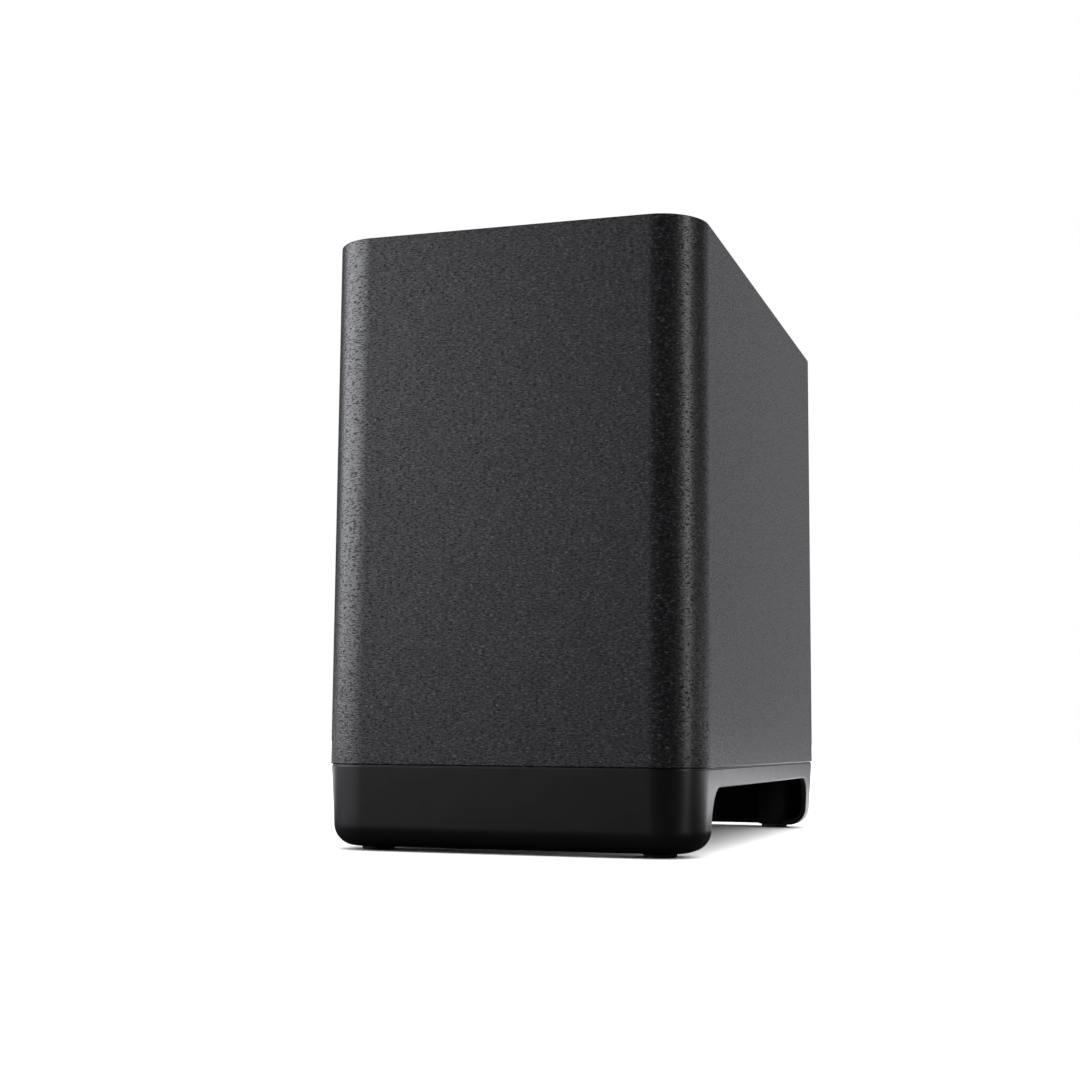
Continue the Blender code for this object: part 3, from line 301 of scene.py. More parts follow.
def wadding():
    paint = Paint("wadding")
    strand = paint.noise(1.5 * MM, 5, 0.75, (1, 1, 1), 2.0)
    paint.colour(paint.ramp(strand, [(0.35, (0.5, 0.49, 0.46)), (0.65, (0.85, 0.84, 0.8))]))
    paint.rough(strand, 0.9, 1.0).bump((strand, 1.2 * MM))
    return paint.material


def metal(name, dark, light, low, high, brushed, depth, metallic=1.0):
    """Metal with uneven tarnish and, where brushed isn't (1, 1, 1), a drawn grain."""
    paint = Paint(name, Metallic=metallic)
    stain = paint.noise(4 * MM, 4, 0.65)
    grain = paint.noise(0.2 * MM, 3, 0.6, brushed)
    paint.colour(paint.ramp(stain, [(0.35, dark), (0.65, light)]))
    paint.rough(paint.blend(stain, grain, 0.5), low, high).bump((grain, depth))
    return paint.material


def ferrite():
    paint = Paint("ferrite", Specular_IOR_Level=0.45)
    grit = paint.noise(0.4 * MM, 4, 0.7)
    paint.colour(paint.ramp(grit, [(0.35, 0.03), (0.65, 0.065)]))
    paint.rough(grit, 0.45, 0.7).bump((grit, 0.04 * MM))
    return paint.material


def cone_paper():
    """Pressed pulp: felted fibres of every direction."""
    paint = Paint("cone_paper", Specular_IOR_Level=0.35)
    felt = paint.noise(0.9 * MM, 5, 0.75, (1, 1, 1), 1.5)
    paint.colour(paint.ramp(felt, [(0.3, 0.012), (0.55, 0.028), (0.75, 0.07)]))
    paint.rough(felt, 0.7, 0.95).bump((felt, 0.12 * MM))
    return paint.material


def spider_cloth():
    paint = Paint("spider_cloth")
    warp = paint.wave(0.8 * MM, "X", 0.6)
    weft = paint.wave(0.8 * MM, "Y", 0.6)
    weave = paint.blend(warp, weft, 0.5)
    paint.colour(paint.ramp(weave, [(0.2, (0.3, 0.17, 0.04)), (0.8, (0.68, 0.46, 0.16))]))
    paint.rough(weave, 0.75, 0.95).bump((weave, 0.15 * MM))
    return paint.material


def copper():
    paint = Paint("copper", Metallic=1.0)
    turns = paint.wave(0.4 * MM, "Z", 0.2)
    paint.colour(paint.ramp(turns, [(0.1, (0.25, 0.08, 0.03)), (0.6, (0.78, 0.34, 0.16))]))
    paint.rough(turns, 0.25, 0.5).bump((turns, 0.1 * MM))
    return paint.material


def former_film():
    paint = Paint("former_film", Specular_IOR_Level=0.6)
    streak = paint.noise(1.2 * MM, 3, 0.6, (1, 1, 0.2))
    paint.colour(paint.ramp(streak, [(0.3, (0.4, 0.16, 0.03)), (0.7, (0.62, 0.3, 0.07))]))
    paint.rough(streak, 0.25, 0.45).bump((streak, 0.02 * MM))
    return paint.material


def circuit_board():
    """Green solder mask over tracks that run along the board."""
    paint = Paint("circuit_board", Specular_IOR_Level=0.55)
    across = paint.wave(3 * MM, "X", 3.0)
    along = paint.wave(3 * MM, "Z", 3.0)
    tracks = paint.blend(across, along, 0.5)
    paint.colour(paint.ramp(tracks, [(0.42, (0.012, 0.11, 0.045)), (0.5, (0.03, 0.21, 0.085))]))
    paint.rough(tracks, 0.3, 0.45).bump((tracks, 0.05 * MM))
    return paint.material


def lens():
    """Frosted light guide."""
    paint = Paint("lens", Specular_IOR_Level=0.5)
    frost = paint.noise(0.3 * MM, 3, 0.6)
    paint.shader.inputs["Transmission Weight"].default_value = 0.35
    paint.colour(paint.ramp(frost, [(0.3, (0.62, 0.65, 0.68)), (0.7, (0.85, 0.87, 0.9))]))
    paint.rough(frost, 0.2, 0.4).bump((frost, 0.01 * MM))
    return paint.material


PAINTS = {
    material.name.split(".")[0]: material
    for material in (
        heather_wrap(),
        moulded("satin_black", (0.006, 0.006, 0.0064), 0.31, 0.22 * MM, 0.004 * MM, 0.68),
        moulded("black_plastic", (0.017, 0.017, 0.019), 0.5, 0.5 * MM, 0.05 * MM),
        rubber(),
        foam(),
        fibreboard("fibreboard", (0.22, 0.14, 0.085), (0.42, 0.3, 0.19)),
        wadding(),
        metal("black_steel", (0.014,) * 3, (0.028,) * 3, 0.35, 0.55, (1, 1, 1), 0.03 * MM, 0.4),
        metal(
            "zinc_steel", (0.46, 0.46, 0.48), (0.68, 0.68, 0.7), 0.25, 0.45, (1, 1, 0.2), 0.02 * MM
        ),
        ferrite(),
        cone_paper(),
        spider_cloth(),
        copper(),
        former_film(),
        circuit_board(),
        metal("aluminium", (0.6, 0.61, 0.63), (0.8, 0.81, 0.83), 0.3, 0.5, (1, 1, 0.1), 0.03 * MM),
        lens(),
    )
}

# Finishes of what must not show: the board above the woofer's space, and near-black painted shade for the
# plinth's inside
BLACK_BOARD = fibreboard("black_board", (0.006, 0.006, 0.006), (0.014, 0.014, 0.015))
SHADE_BLACK = moulded("painted_inside_shade", (0.002, 0.002, 0.002), 0.85, 0.5 * MM, 0.03 * MM, 0.15)


def repaint_frame():
    """Gives each CAD node the material of its own slot, and blackens the baffle board."""
    for node in NODES.values():
        for place in node.material_slots:
            name = place.material.name.split(".")[0]
            place.material = PAINTS[name]
    for place in NODES["baffle_board"].material_slots:
        place.material = BLACK_BOARD


repaint_frame()


# Mesh helpers


def new_object(name, data):
    obj = bpy.data.objects.new(name, data)
    bpy.context.scene.collection.objects.link(obj)
    return obj


def piece(name, mesh, slot, node, body="cabinet", flat=True):
    """A piece from a bmesh that replaces a CAD node: its normals out, its finish on."""
    bmesh.ops.remove_doubles(mesh, verts=mesh.verts, dist=WELD)
    bmesh.ops.recalc_face_normals(mesh, faces=mesh.faces)
    data = bpy.data.meshes.new(name)
    mesh.to_mesh(data)
    mesh.free()
    data.materials.append(PAINTS[slot])
    obj = new_object(name, data)
    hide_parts(node)
    if body:
        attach(obj, body)
    smooth(obj, flat)
    return obj


def smooth(obj, flat=True):
    """Smooth shading that leaves wide flat faces flat."""
    obj.data.shade_smooth()
    obj.data.set_sharp_from_angle(angle=math.radians(SHARP_ANGLE))
    if flat:
        modifier = obj.modifiers.new("flat_faces", "WEIGHTED_NORMAL")
        modifier.keep_sharp = True
        modifier.weight = FLAT_WEIGHT


def cutter(mesh, place=None):
    """A helper solid from a bmesh for shape(), moved to its place."""
    bmesh.ops.recalc_face_normals(mesh, faces=mesh.faces)
    if place:
        bmesh.ops.transform(mesh, matrix=place, verts=mesh.verts)
    data = bpy.data.meshes.new("cutter")
    mesh.to_mesh(data)
    mesh.free()
    return new_object("cutter", data)


def cut(mesh, place=None):
    return "DIFFERENCE", cutter(mesh, place)


def shape(obj, tools):
    """Applies (operation, cutter) pairs to obj with exact Booleans, and removes the cutters."""
    obj.modifiers.clear()
    for operation, helper in tools:
        modifier = obj.modifiers.new("shape", "BOOLEAN")
        modifier.operation = operation
        modifier.solver = "EXACT"
        modifier.object = helper
    graph = bpy.context.evaluated_depsgraph_get()
    made = bpy.data.meshes.new_from_object(obj.evaluated_get(graph))
    obj.modifiers.clear()
    material = obj.data.materials[0]
    obj.data = made
    made.materials.clear()
    made.materials.append(material)
    for _, helper in tools:
        bpy.data.objects.remove(helper)
    smooth(obj)


def loft(rings, closed=False):
    """Skin over rings of equally many points: a closed tube, or a solid capped at both ends."""
    mesh = bmesh.new()
    loops = [[mesh.verts.new(point) for point in ring] for ring in rings]
    pairs = list(zip(loops, loops[1:] + loops[:1]))
    for low, high in pairs if closed else pairs[:-1]:
        for i, vertex in enumerate(low):
            after = (i + 1) % len(low)
            mesh.faces.new((vertex, low[after], high[after], high[i]))
    if not closed:
        mesh.faces.new(loops[0])
        mesh.faces.new(loops[-1])
    return mesh


def turned(profile, steps=ROUND):
    """A solid turned about Z from an outline of (radius, height) points."""
    mesh = bmesh.new()
    points = [mesh.verts.new((radius, 0, height)) for radius, height in profile]
    ends = list(zip(points, points[1:] + points[:1]))
    if profile[0][0] == 0 and profile[-1][0] == 0:
        ends.pop()
    edges = [mesh.edges.new(pair) for pair in ends]
    bmesh.ops.spin(
        mesh,
        geom=points + edges,
        axis=(0, 0, 1),
        cent=(0, 0, 0),
        angle=math.tau,
        steps=steps,
        use_merge=True,
    )
    bmesh.ops.remove_doubles(mesh, verts=mesh.verts, dist=WELD)
    return mesh


def cylinder(radius, low, high, steps=SMALL_ROUND):
    return turned([(0, low), (radius, low), (radius, high), (0, high)], steps)


def block(low, high):
    low, high = Vector(low), Vector(high)
    mesh = bmesh.new()
    bmesh.ops.create_cube(mesh, size=1)
    bmesh.ops.scale(mesh, vec=high - low, verts=mesh.verts)
    bmesh.ops.translate(mesh, vec=(low + high) / 2, verts=mesh.verts)
    return mesh


def arc(centre, radius, start, end, steps):
    """Points on an arc, with the angles in degrees."""
    angles = [math.radians(start + (end - start) * i / steps) for i in range(steps + 1)]
    return [
        (centre[0] + radius * math.cos(a), centre[1] + radius * math.sin(a))
        for a in angles
    ]


def rounded_rectangle(half_x, half_y, radius, steps):
    corners = ((1, 1, 0), (-1, 1, 90), (-1, -1, 180), (1, -1, 270))
    points = []
    for side, end, start in corners:
        centre = (side * (half_x - radius), end * (half_y - radius))
        points += arc(centre, radius, start, start + 90, steps)
    return points


def cabinet_ring(inset, height):
    """The cabinet's outline moved inwards, whose corners keep their axes."""
    outline = rounded_rectangle(
        WIDTH / 2 - inset, DEPTH / 2 - inset, CORNER_R - inset, CORNER_STEPS
    )
    return [(x, y, height) for x, y in outline]


def cabinet_loft(sections):
    return loft([cabinet_ring(inset, height) for inset, height in sections])


def rear_plate(half_x, half_z, radius, sections, centre, steps=12):
    """A rounded rectangle seen from behind, lofted over (inset, y) sections."""
    rings = []
    for inset, y in sections:
        corner_r = max(radius - inset, PLAY)
        outline = rounded_rectangle(half_x - inset, half_z - inset, corner_r, steps)
        rings.append([(centre[0] + x, y, centre[1] + z) for x, z in outline])
    return loft(rings)


def towards_rear(x, y, z):
    """Turns a mesh made along +Z to run along +Y, and moves it by (x, y, z)."""
    return Matrix.Translation((x, y, z)) @ Matrix.Rotation(-math.pi / 2, 4, "X")


def towards_front(x, y, z):
    return Matrix.Translation((x, y, z)) @ Matrix.Rotation(math.pi / 2, 4, "X")


def moved(mesh, matrix):
    bmesh.ops.transform(mesh, matrix=matrix, verts=mesh.verts)
    return mesh


# Cabinet wrap

WRAP_T = 0.6 * MM
WRAP_FOLD = 5 * MM  # width of the part that is folded under the cabinet
WRAP_EDGE_R = 0.7 * MM
WRAP_TOP_R = 0.8 * MM
REAR_SEAM_W = 0.3 * MM
REAR_SEAM_DEPTH = 0.25 * MM
REAR_SEAM_END = 2 * MM  # from the top
CUT_REACH = 10 * MM  # how far the rear cutters reach on each side of the face
PANEL_CENTRE = middle("amplifier_panel")[::2]
PANEL_HALF = half_size("amplifier_panel")[::2]
PANEL_R = 6 * MM
PORT_Z = middle("port_tube")[2]
PORT_RIM_R = half_size("port_tube")[0]


def make_wrap():
    low = WRAP_LOW.z
    edge = (WRAP_EDGE_R, low + WRAP_EDGE_R)
    sections = [(WRAP_T, HEIGHT - WRAP_T)]
    sections += arc(edge, WRAP_EDGE_R - WRAP_T, 180, 270, 4)
    sections += [(WRAP_FOLD, low + WRAP_T), (WRAP_FOLD, low)]
    sections += arc(edge, WRAP_EDGE_R, 270, 180, 6)
    sections += arc((WRAP_TOP_R, HEIGHT - WRAP_TOP_R), WRAP_TOP_R, 180, 90, 5)
    wrap = piece("wrap_skin", cabinet_loft(sections), "heather_wrap", "cabinet_wrap")
    inside = DEPTH / 2 - CUT_REACH
    outside = DEPTH / 2 + CUT_REACH
    half_x, half_z = (half + PLAY for half in PANEL_HALF)
    opening = rear_plate(
        half_x, half_z, PANEL_R + PLAY, [(0, inside), (0, outside)], PANEL_CENTRE
    )
    mouth = cylinder(PORT_RIM_R + PLAY, inside, outside, ROUND)
    groove = block(
        (-REAR_SEAM_W / 2, DEPTH / 2 - REAR_SEAM_DEPTH, low - MM),
        (REAR_SEAM_W / 2, outside, HEIGHT - REAR_SEAM_END),
    )
    tools = [
        cut(opening),
        cut(mouth, towards_rear(0, 0, PORT_Z)),
        cut(groove),
    ]
    shape(wrap, tools)


# Base plinth

PLINTH_INSET = WRAP_HIGH.x - PLINTH_HIGH.x
PLINTH_DRAFT = 0.0613  # how much the walls lean in towards the floor, per height
PLINTH_FILLET = 11 * MM
PLINTH_T = 3 * MM
PLINTH_LIP = 4 * MM
PLINTH_EDGE_R = 0.35 * MM
PLINTH_RIM = 1.4 * MM  # height of the rim round the plate
PLATE_T = 2.4 * MM
PLATE_OPENING_EDGE = 4.8 * MM  # from the woofer's opening to the cabinet's side
ARCH_TOP = 32.2 * MM
ARCH_R = 14 * MM
ARCH_LEG = 36.7 * MM
ARCH_LEG_STEPS = 14
ARCH_EDGE_R = 0.7 * MM
ARCH_OVERSHOOT = 6 * MM  # of the cutter, below the plinth
SEAM_GAP = 0.6 * MM  # between plinth and wrap
SEAM_STEP = 0.5 * MM  # inset of the step that keeps light out of the gap
SEAM_CLEARANCE = 0.12 * MM  # between that step and the wrap
BOSS_R = 10 * MM
BOSS_RISE = 0.2 * MM  # from the plinth's underside
FOOT_RECESS = 1 * MM
SPIGOT_PLAY = 0.4 * MM
# margin round the bosses that also gets the painted shade
SHADE_MARGIN = 0.4 * MM
INWARDS = -0.3  # outward share of a normal, below which its face looks inwards
PLINTH_TOP = WRAP_LOW.z - SEAM_GAP
SEAM_TOP = WRAP_LOW.z - SEAM_CLEARANCE
BAFFLE_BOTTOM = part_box("baffle_board")[0].z
FILLET_Z = PLINTH_LOW.z + PLINTH_FILLET
FILLET_INSET = PLINTH_INSET + PLINTH_DRAFT * (PLINTH_TOP - FILLET_Z)
SCREW_SEAT = 26 * MM
SCREW_HOLE_R = 2.3 * MM
SPIGOT_R = 4.4 * MM


def plinth_inset(height):
    """How far the plinth's outside stands in from the cabinet's face at a height."""
    if height >= FILLET_Z:
        return PLINTH_INSET + PLINTH_DRAFT * (PLINTH_TOP - height)
    rise = max(0.0, min(1.0, (FILLET_Z - max(height, PLINTH_LOW.z)) / PLINTH_FILLET))
    return FILLET_INSET + PLINTH_FILLET * (1 - math.sqrt(1 - rise * rise))


def arch_outline(growth):
    """(y, z) points round the arch, which stands on its open side, grown by growth."""
    half = DEPTH / 2 - ARCH_LEG + growth
    top = ARCH_TOP + growth
    radius = ARCH_R + growth
    low = PLINTH_LOW.z
    leg = [low - ARCH_OVERSHOOT]
    leg += [low + (top - radius - low) * i / ARCH_LEG_STEPS for i in range(ARCH_LEG_STEPS)]
    points = [(half, z) for z in leg]
    points += arc((half - radius, top - radius), radius, 0, 90, 18)
    points += arc((-half + radius, top - radius), radius, 90, 180, 18)
    points += [(-half, z) for z in reversed(leg)]
    return points


def arch_cutter():
    """Cuts both side arches and rounds their outer edges."""
    rings = []
    round_edge = []
    for turn in (0, 18, 36, 54, 72, 90):
        a = math.radians(turn)
        round_edge.append((ARCH_EDGE_R * (1 - math.sin(a)), ARCH_EDGE_R * (1 - math.cos(a))))
    round_edge.append((-2 * MM, ARCH_EDGE_R))
    for side in (-1, 1):
        edge = []
        for depth, growth in round_edge:
            ring = []
            for y, z in arch_outline(growth):
                ring.append((side * (WIDTH / 2 - plinth_inset(z) - depth), y, z))
            edge.append(ring)
        rings += reversed(edge) if side < 0 else edge
    return loft(rings)


def paint_shade_inside(plinth):
    """Paints shade on the faces that look inwards, and on those deep under the deck: a near-black dull
    finish.
    """
    plinth.data.materials.append(SHADE_BLACK)
    for face in plinth.data.polygons:
        x, y, z = face.center
        past_x, past_y = abs(x) - FOOT_X, abs(y) - FOOT_Y
        reach = math.hypot(past_x, past_y) if min(past_x, past_y) > 0 else max(past_x, past_y)
        inwards = face.normal.x * x + face.normal.y * y < INWARDS * math.hypot(x, y)
        # near-black painted shade on these faces
        if z < PLINTH_TOP - MM and (inwards or reach < BOSS_R + SHADE_MARGIN):
            face.material_index = 1


def make_plinth():
    plate_top = PLINTH_TOP - PLINTH_RIM
    plate_bottom = plate_top - PLATE_T
    plate_inset = plinth_inset(plate_bottom) + PLINTH_T
    centre = (FILLET_INSET + PLINTH_FILLET, FILLET_Z)
    lip = centre[0] + PLINTH_LIP
    low = PLINTH_LOW.z
    rim = PLINTH_INSET + PLINTH_T
    sections = [(plate_inset, plate_bottom)]
    sections += arc(centre, PLINTH_FILLET - PLINTH_T, 180, 270, 8)
    sections += [(lip, low + PLINTH_T), (lip, low)]
    sections += arc(centre, PLINTH_FILLET, 270, 180, 14)
    edge = (PLINTH_INSET + PLINTH_EDGE_R, PLINTH_TOP - PLINTH_EDGE_R)
    sections += arc(edge, PLINTH_EDGE_R, 180, 90, 4)
    step = PLINTH_INSET + SEAM_STEP
    sections += [(step, PLINTH_TOP), (step, SEAM_TOP), (rim, SEAM_TOP), (rim, plate_top)]
    plinth = piece("base_shell", cabinet_loft(sections), "satin_black", "base_plinth")
    tools = []
    for side, end in CORNERS:
        place = Matrix.Translation((side * FOOT_X, end * FOOT_Y, 0))
        boss = cylinder(BOSS_R, low + BOSS_RISE, BAFFLE_BOTTOM - PLAY, SMALL_ROUND)
        tools.append(("UNION", cutter(boss, place)))
        recess = low + FOOT_RECESS
        bore = [
            (0, -low),
            (FOOT_R + PLAY, -low),
            (FOOT_R + PLAY, recess),
            (SPIGOT_R + SPIGOT_PLAY, recess),
            (SPIGOT_R + SPIGOT_PLAY, SCREW_SEAT),
            (SCREW_HOLE_R, SCREW_SEAT),
            (SCREW_HOLE_R, PLINTH_HIGH.z + MM),
            (0, PLINTH_HIGH.z + MM),
        ]
        tools.append(cut(turned(bore, SMALL_ROUND), place))
    tools.append(cut(arch_cutter()))
    opening_r = WIDTH / 2 - PLATE_OPENING_EDGE
    opening = cylinder(opening_r, plate_bottom - PLATE_T, PLINTH_HIGH.z + MM, ROUND)
    tools.append(cut(opening))
    shape(plinth, tools)
    paint_shade_inside(plinth)


FOOT_RISE = 0.7 * MM  # of the pad's top above the plinth's underside
FOOT_EDGE_R = 0.9 * MM
TREAD_INSET = 3 * MM
TREAD_GROOVE = 0.4 * MM  # half width and depth
TREAD_RING = 0.8 * MM
TREAD_HOLLOW = 0.35 * MM
SPIGOT_BEVEL = 0.5 * MM


def make_foot(side, end):
    """A pressed-in rubber foot with a ring groove and a hollow middle in its tread."""
    name = CORNER_NAMES[side, end]
    disc_top = PLINTH_LOW.z + FOOT_RISE
    edge = FOOT_EDGE_R
    groove = FOOT_R - TREAD_INSET
    ring_r = groove - TREAD_GROOVE - TREAD_RING
    profile = [(0, TREAD_HOLLOW), (ring_r - TREAD_GROOVE, TREAD_HOLLOW), (ring_r, 0)]
    profile += [(groove - TREAD_GROOVE, 0), (groove, TREAD_GROOVE), (groove + TREAD_GROOVE, 0)]
    profile += arc((FOOT_R - edge, edge), edge, -90, 0, 6)
    profile += [(FOOT_R, disc_top), (SPIGOT_R, disc_top), (SPIGOT_R, FOOT_TOP - SPIGOT_BEVEL)]
    profile += [(SPIGOT_R - SPIGOT_BEVEL, FOOT_TOP), (0, FOOT_TOP)]
    place = Matrix.Translation((side * FOOT_X, end * FOOT_Y, 0))
    mesh = moved(turned(profile, SMALL_ROUND), place)
    piece("foot_pad_" + name, mesh, "rubber", "foot_" + name)


# Rear: port, panel and what the panel carries

PORT_T = 2.2 * MM
PORT_FLARE = 9 * MM
PORT_FLANGE = 2 * MM
PORT_RIM_EDGE_R = 0.5 * MM
PORT_BEVEL = 0.6 * MM
PORT_LENGTH = PORT_HIGH.y - PORT_LOW.y
PORT_R = PORT_RIM_R - PORT_FLARE - PORT_FLANGE
PANEL_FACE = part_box("amplifier_panel")[1].y
PANEL_T = 3.3 * MM
PANEL_BACK = PANEL_FACE - PANEL_T
PANEL_EDGE_R = 0.8 * MM
FLANGE_FACE = PANEL_BACK - PLAY  # what presses against the panel from inside ends here
OVERSHOOT = 5 * MM  # of cutters behind the panel
PANEL_SCREW_R = 1.5 * MM
PANEL_SCREW_HEAD = (2.7 * MM, 1.5 * MM)  # radius and thickness
COUNTERSINK_R = 3 * MM
COUNTERSINK = 2 * MM
COUNTERSINK_RIM = 0.4 * MM
WELL_R = 7.5 * MM  # of the hollow round button and lens
WELL_DEPTH = 0.4 * MM
SOCKET_HALF = (7.8 * MM, 4 * MM)
SOCKET_DEPTH = 12 * MM
SOCKET_FLARE = 0.8 * MM
EAR_W = 4 * MM
EAR_RISE = MM
EAR_T = 2 * MM
INLET_RIM = 1.1 * MM  # depth of the bevel round the inlet's hole
INLET_BEVEL = 0.4 * MM
PIN_R = 1.2 * MM
PIN_HALF_PITCH = 4.3 * MM
INLET_X, _, INLET_Z = middle("mains_inlet")
INLET_HALF = (half_size("mains_inlet")[0] - EAR_W, half_size("mains_inlet")[2] - EAR_RISE)
BUTTON_FLANGE = MM
BUTTON_X, _, BUTTON_Z = middle("pairing_button")
BUTTON_R = half_size("pairing_button")[0] - BUTTON_FLANGE
LENS_COLLAR = 0.8 * MM
LENS_X = middle("status_lens")[0]
LENS_R = half_size("status_lens")[0] - LENS_COLLAR
CORNER_SCREWS = ["low_left", "low_right", "top_left", "top_right"]


def make_port():
    outer_r = PORT_R + PORT_T
    flare = (PORT_R + PORT_FLARE, PORT_LENGTH - PORT_FLARE)
    profile = [(outer_r, 0)]
    profile += arc(flare, PORT_FLARE - PORT_T, 180, 90, 12)
    profile += [(PORT_RIM_R, PORT_LENGTH - PORT_T)]
    edge = PORT_RIM_EDGE_R
    profile += arc((PORT_RIM_R - edge, PORT_LENGTH - edge), edge, 0, 90, 4)
    profile += arc(flare, PORT_FLARE, 90, 180, 18)
    profile += [(PORT_R, PORT_BEVEL), (PORT_R + PORT_BEVEL, 0)]
    mesh = moved(turned(profile), towards_rear(0, PORT_LOW.y, PORT_Z))
    piece("port_flare", mesh, "black_plastic", "port_tube")


RECESS_TIP = 0.45  # size of the recess at its bottom, as a share of its mouth
DOMED_CROWN = 0.45  # height of the head's edge, as a share of the head's height
FLAT_CROWN = 0.9
THREAD_PITCH = 0.9 * MM
THREAD_START = 0.4 * MM
THREAD_ROOT = 0.8  # share of the shank's radius
SCREW_TIP = 0.15


def cross_recess(reach, width, low, high):
    """Two crossed blades that taper towards their tip at low."""
    made = []
    for turn in (0, math.pi / 2):
        rings = []
        for height, share in ((low, RECESS_TIP), (high, 1.0)):
            x, y = reach * share, width / 2 * share
            rings.append([(-x, -y, height), (x, -y, height), (x, y, height), (-x, y, height)])
        made.append(moved(loft(rings), Matrix.Rotation(turn, 4, "Z")))
    return made


def make_screw(name, cad_node, head, shank_r, place, crown):
    """A cross-head screw along the CAD screw's own axis, its head towards local -Z."""
    head_r, head_t = head
    low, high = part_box(cad_node)
    length = max(high - low) - head_t
    profile = [(0, -head_t)]
    for share in (0.3, 0.55, 0.75, 0.9, 0.97):
        profile.append((head_r * share, -head_t * (1 - (1 - crown) * share**3)))
    profile += [(head_r, -head_t * crown * 0.7), (head_r, 0), (shank_r, 0)]
    thread_end = length - 2 * shank_r
    for i in range(int(thread_end / THREAD_PITCH)):
        start = THREAD_START + i * THREAD_PITCH
        profile += [(shank_r * THREAD_ROOT, start), (shank_r, start + THREAD_PITCH / 2)]
    profile += [(shank_r * THREAD_ROOT, thread_end), (shank_r * SCREW_TIP, length), (0, length)]
    mesh = moved(turned(profile, SCREW_ROUND), place)
    screw = piece(name, mesh, "zinc_steel", cad_node)
    blades = cross_recess(head_r * 0.55, head_r * 0.24, -head_t * 0.3, -head_t - MM)
    shape(screw, [cut(blade, place) for blade in blades])


def make_panel():
    back, face = PANEL_BACK, PANEL_FACE
    sections = [(0, back)]
    for x, y in arc((0, 0), PANEL_EDGE_R, 0, 90, 6):
        sections.append((PANEL_EDGE_R - x, y + face - PANEL_EDGE_R))
    mesh = rear_plate(*PANEL_HALF, PANEL_R, sections, PANEL_CENTRE, 14)
    panel = piece("panel_plate", mesh, "black_plastic", "amplifier_panel")
    outside = face + OVERSHOOT
    tools = []
    for name in CORNER_SCREWS:
        x, _, z = middle("panel_screw_" + name)
        seat = face - COUNTERSINK
        rim = COUNTERSINK_RIM
        bore = [(0, back - MM), (PANEL_SCREW_R + PLAY, back - MM), (PANEL_SCREW_R + PLAY, seat)]
        bore += [(COUNTERSINK_R, seat), (COUNTERSINK_R, face - rim)]
        bore += [(COUNTERSINK_R + OVERSHOOT + rim, outside), (0, outside)]
        tools.append(cut(turned(bore, SMALL_ROUND), towards_rear(x, 0, z)))
    bevel = [(0, face - INLET_RIM), (-4.9 * MM, outside - MM)]
    hole = rear_plate(
        *(half + PLAY for half in INLET_HALF),
        2 * MM,
        [(0, back - MM)] + bevel,
        (INLET_X, INLET_Z),
    )
    tools.append(cut(hole))
    well = rear_plate(
        (BUTTON_X - LENS_X) / 2 + WELL_R,
        WELL_R,
        WELL_R - PLAY / 10,
        [(0, face - WELL_DEPTH), (-WELL_DEPTH - OVERSHOOT, outside)],
        ((BUTTON_X + LENS_X) / 2, BUTTON_Z),
        20,
    )
    tools.append(cut(well))
    button = cylinder(BUTTON_R + PLAY, back - MM, outside)
    tools.append(cut(button, towards_rear(BUTTON_X, 0, BUTTON_Z)))
    light = cylinder(LENS_R + PLAY, back - MM, outside)
    tools.append(cut(light, towards_rear(LENS_X, 0, BUTTON_Z)))
    shape(panel, tools)


def make_inlet():
    """The inlet's body, with a flared mouth and two pins deep in its socket."""
    front = INLET_HIGH.y
    back = INLET_LOW.y
    half_x, half_z = INLET_HALF
    centre = (INLET_X, INLET_Z)
    sections = [(0, back), (0, front - INLET_BEVEL), (INLET_BEVEL, front)]
    mesh = rear_plate(half_x, half_z, 1.7 * MM, sections, centre)
    inlet = piece("inlet_body", mesh, "black_plastic", "mains_inlet")
    sections = [(0, FLANGE_FACE - EAR_T), (0, FLANGE_FACE)]
    ears = rear_plate(half_x + EAR_W, half_z + EAR_RISE, 1.5 * MM, sections, centre)
    flare = [(0, front - SOCKET_FLARE), (-SOCKET_FLARE, front), (-SOCKET_FLARE - MM, front + MM)]
    socket = rear_plate(
        *SOCKET_HALF,
        SOCKET_HALF[1] - 0.01 * MM,
        [(0, front - SOCKET_DEPTH)] + flare,
        centre,
    )
    tools = [("UNION", cutter(ears)), cut(socket)]
    for side in (-1, 1):
        hole = cylinder(PIN_R + PLAY, back - MM, front - SOCKET_DEPTH + MM, BORE_ROUND)
        place = towards_rear(INLET_X + side * PIN_HALF_PITCH, 0, INLET_Z)
        tools.append(cut(hole, place))
    shape(inlet, tools)
    for name, side in (("left", -1), ("right", 1)):
        tail, tip = (corner.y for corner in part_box("inlet_pin_" + name))
        profile = [(0, tail), (PIN_R, tail)]
        profile += arc((0, tip - PIN_R), PIN_R, 0, 90, 6)
        profile[-1] = (0, tip)
        place = towards_rear(INLET_X + side * PIN_HALF_PITCH, 0, INLET_Z)
        mesh = moved(turned(profile, SCREW_ROUND), place)
        piece("contact_pin_" + name, mesh, "zinc_steel", "inlet_pin_" + name)


BUTTON_FLANGE_T = 1.2 * MM
BUTTON_EDGE_R = 0.6 * MM
BUTTON_STEM_R = 1.6 * MM
BUTTON_RING = 1.1 * MM  # width of the flat ring round the hollow
BUTTON_HOLLOW = 0.45 * MM
LENS_DOME = 0.7 * MM


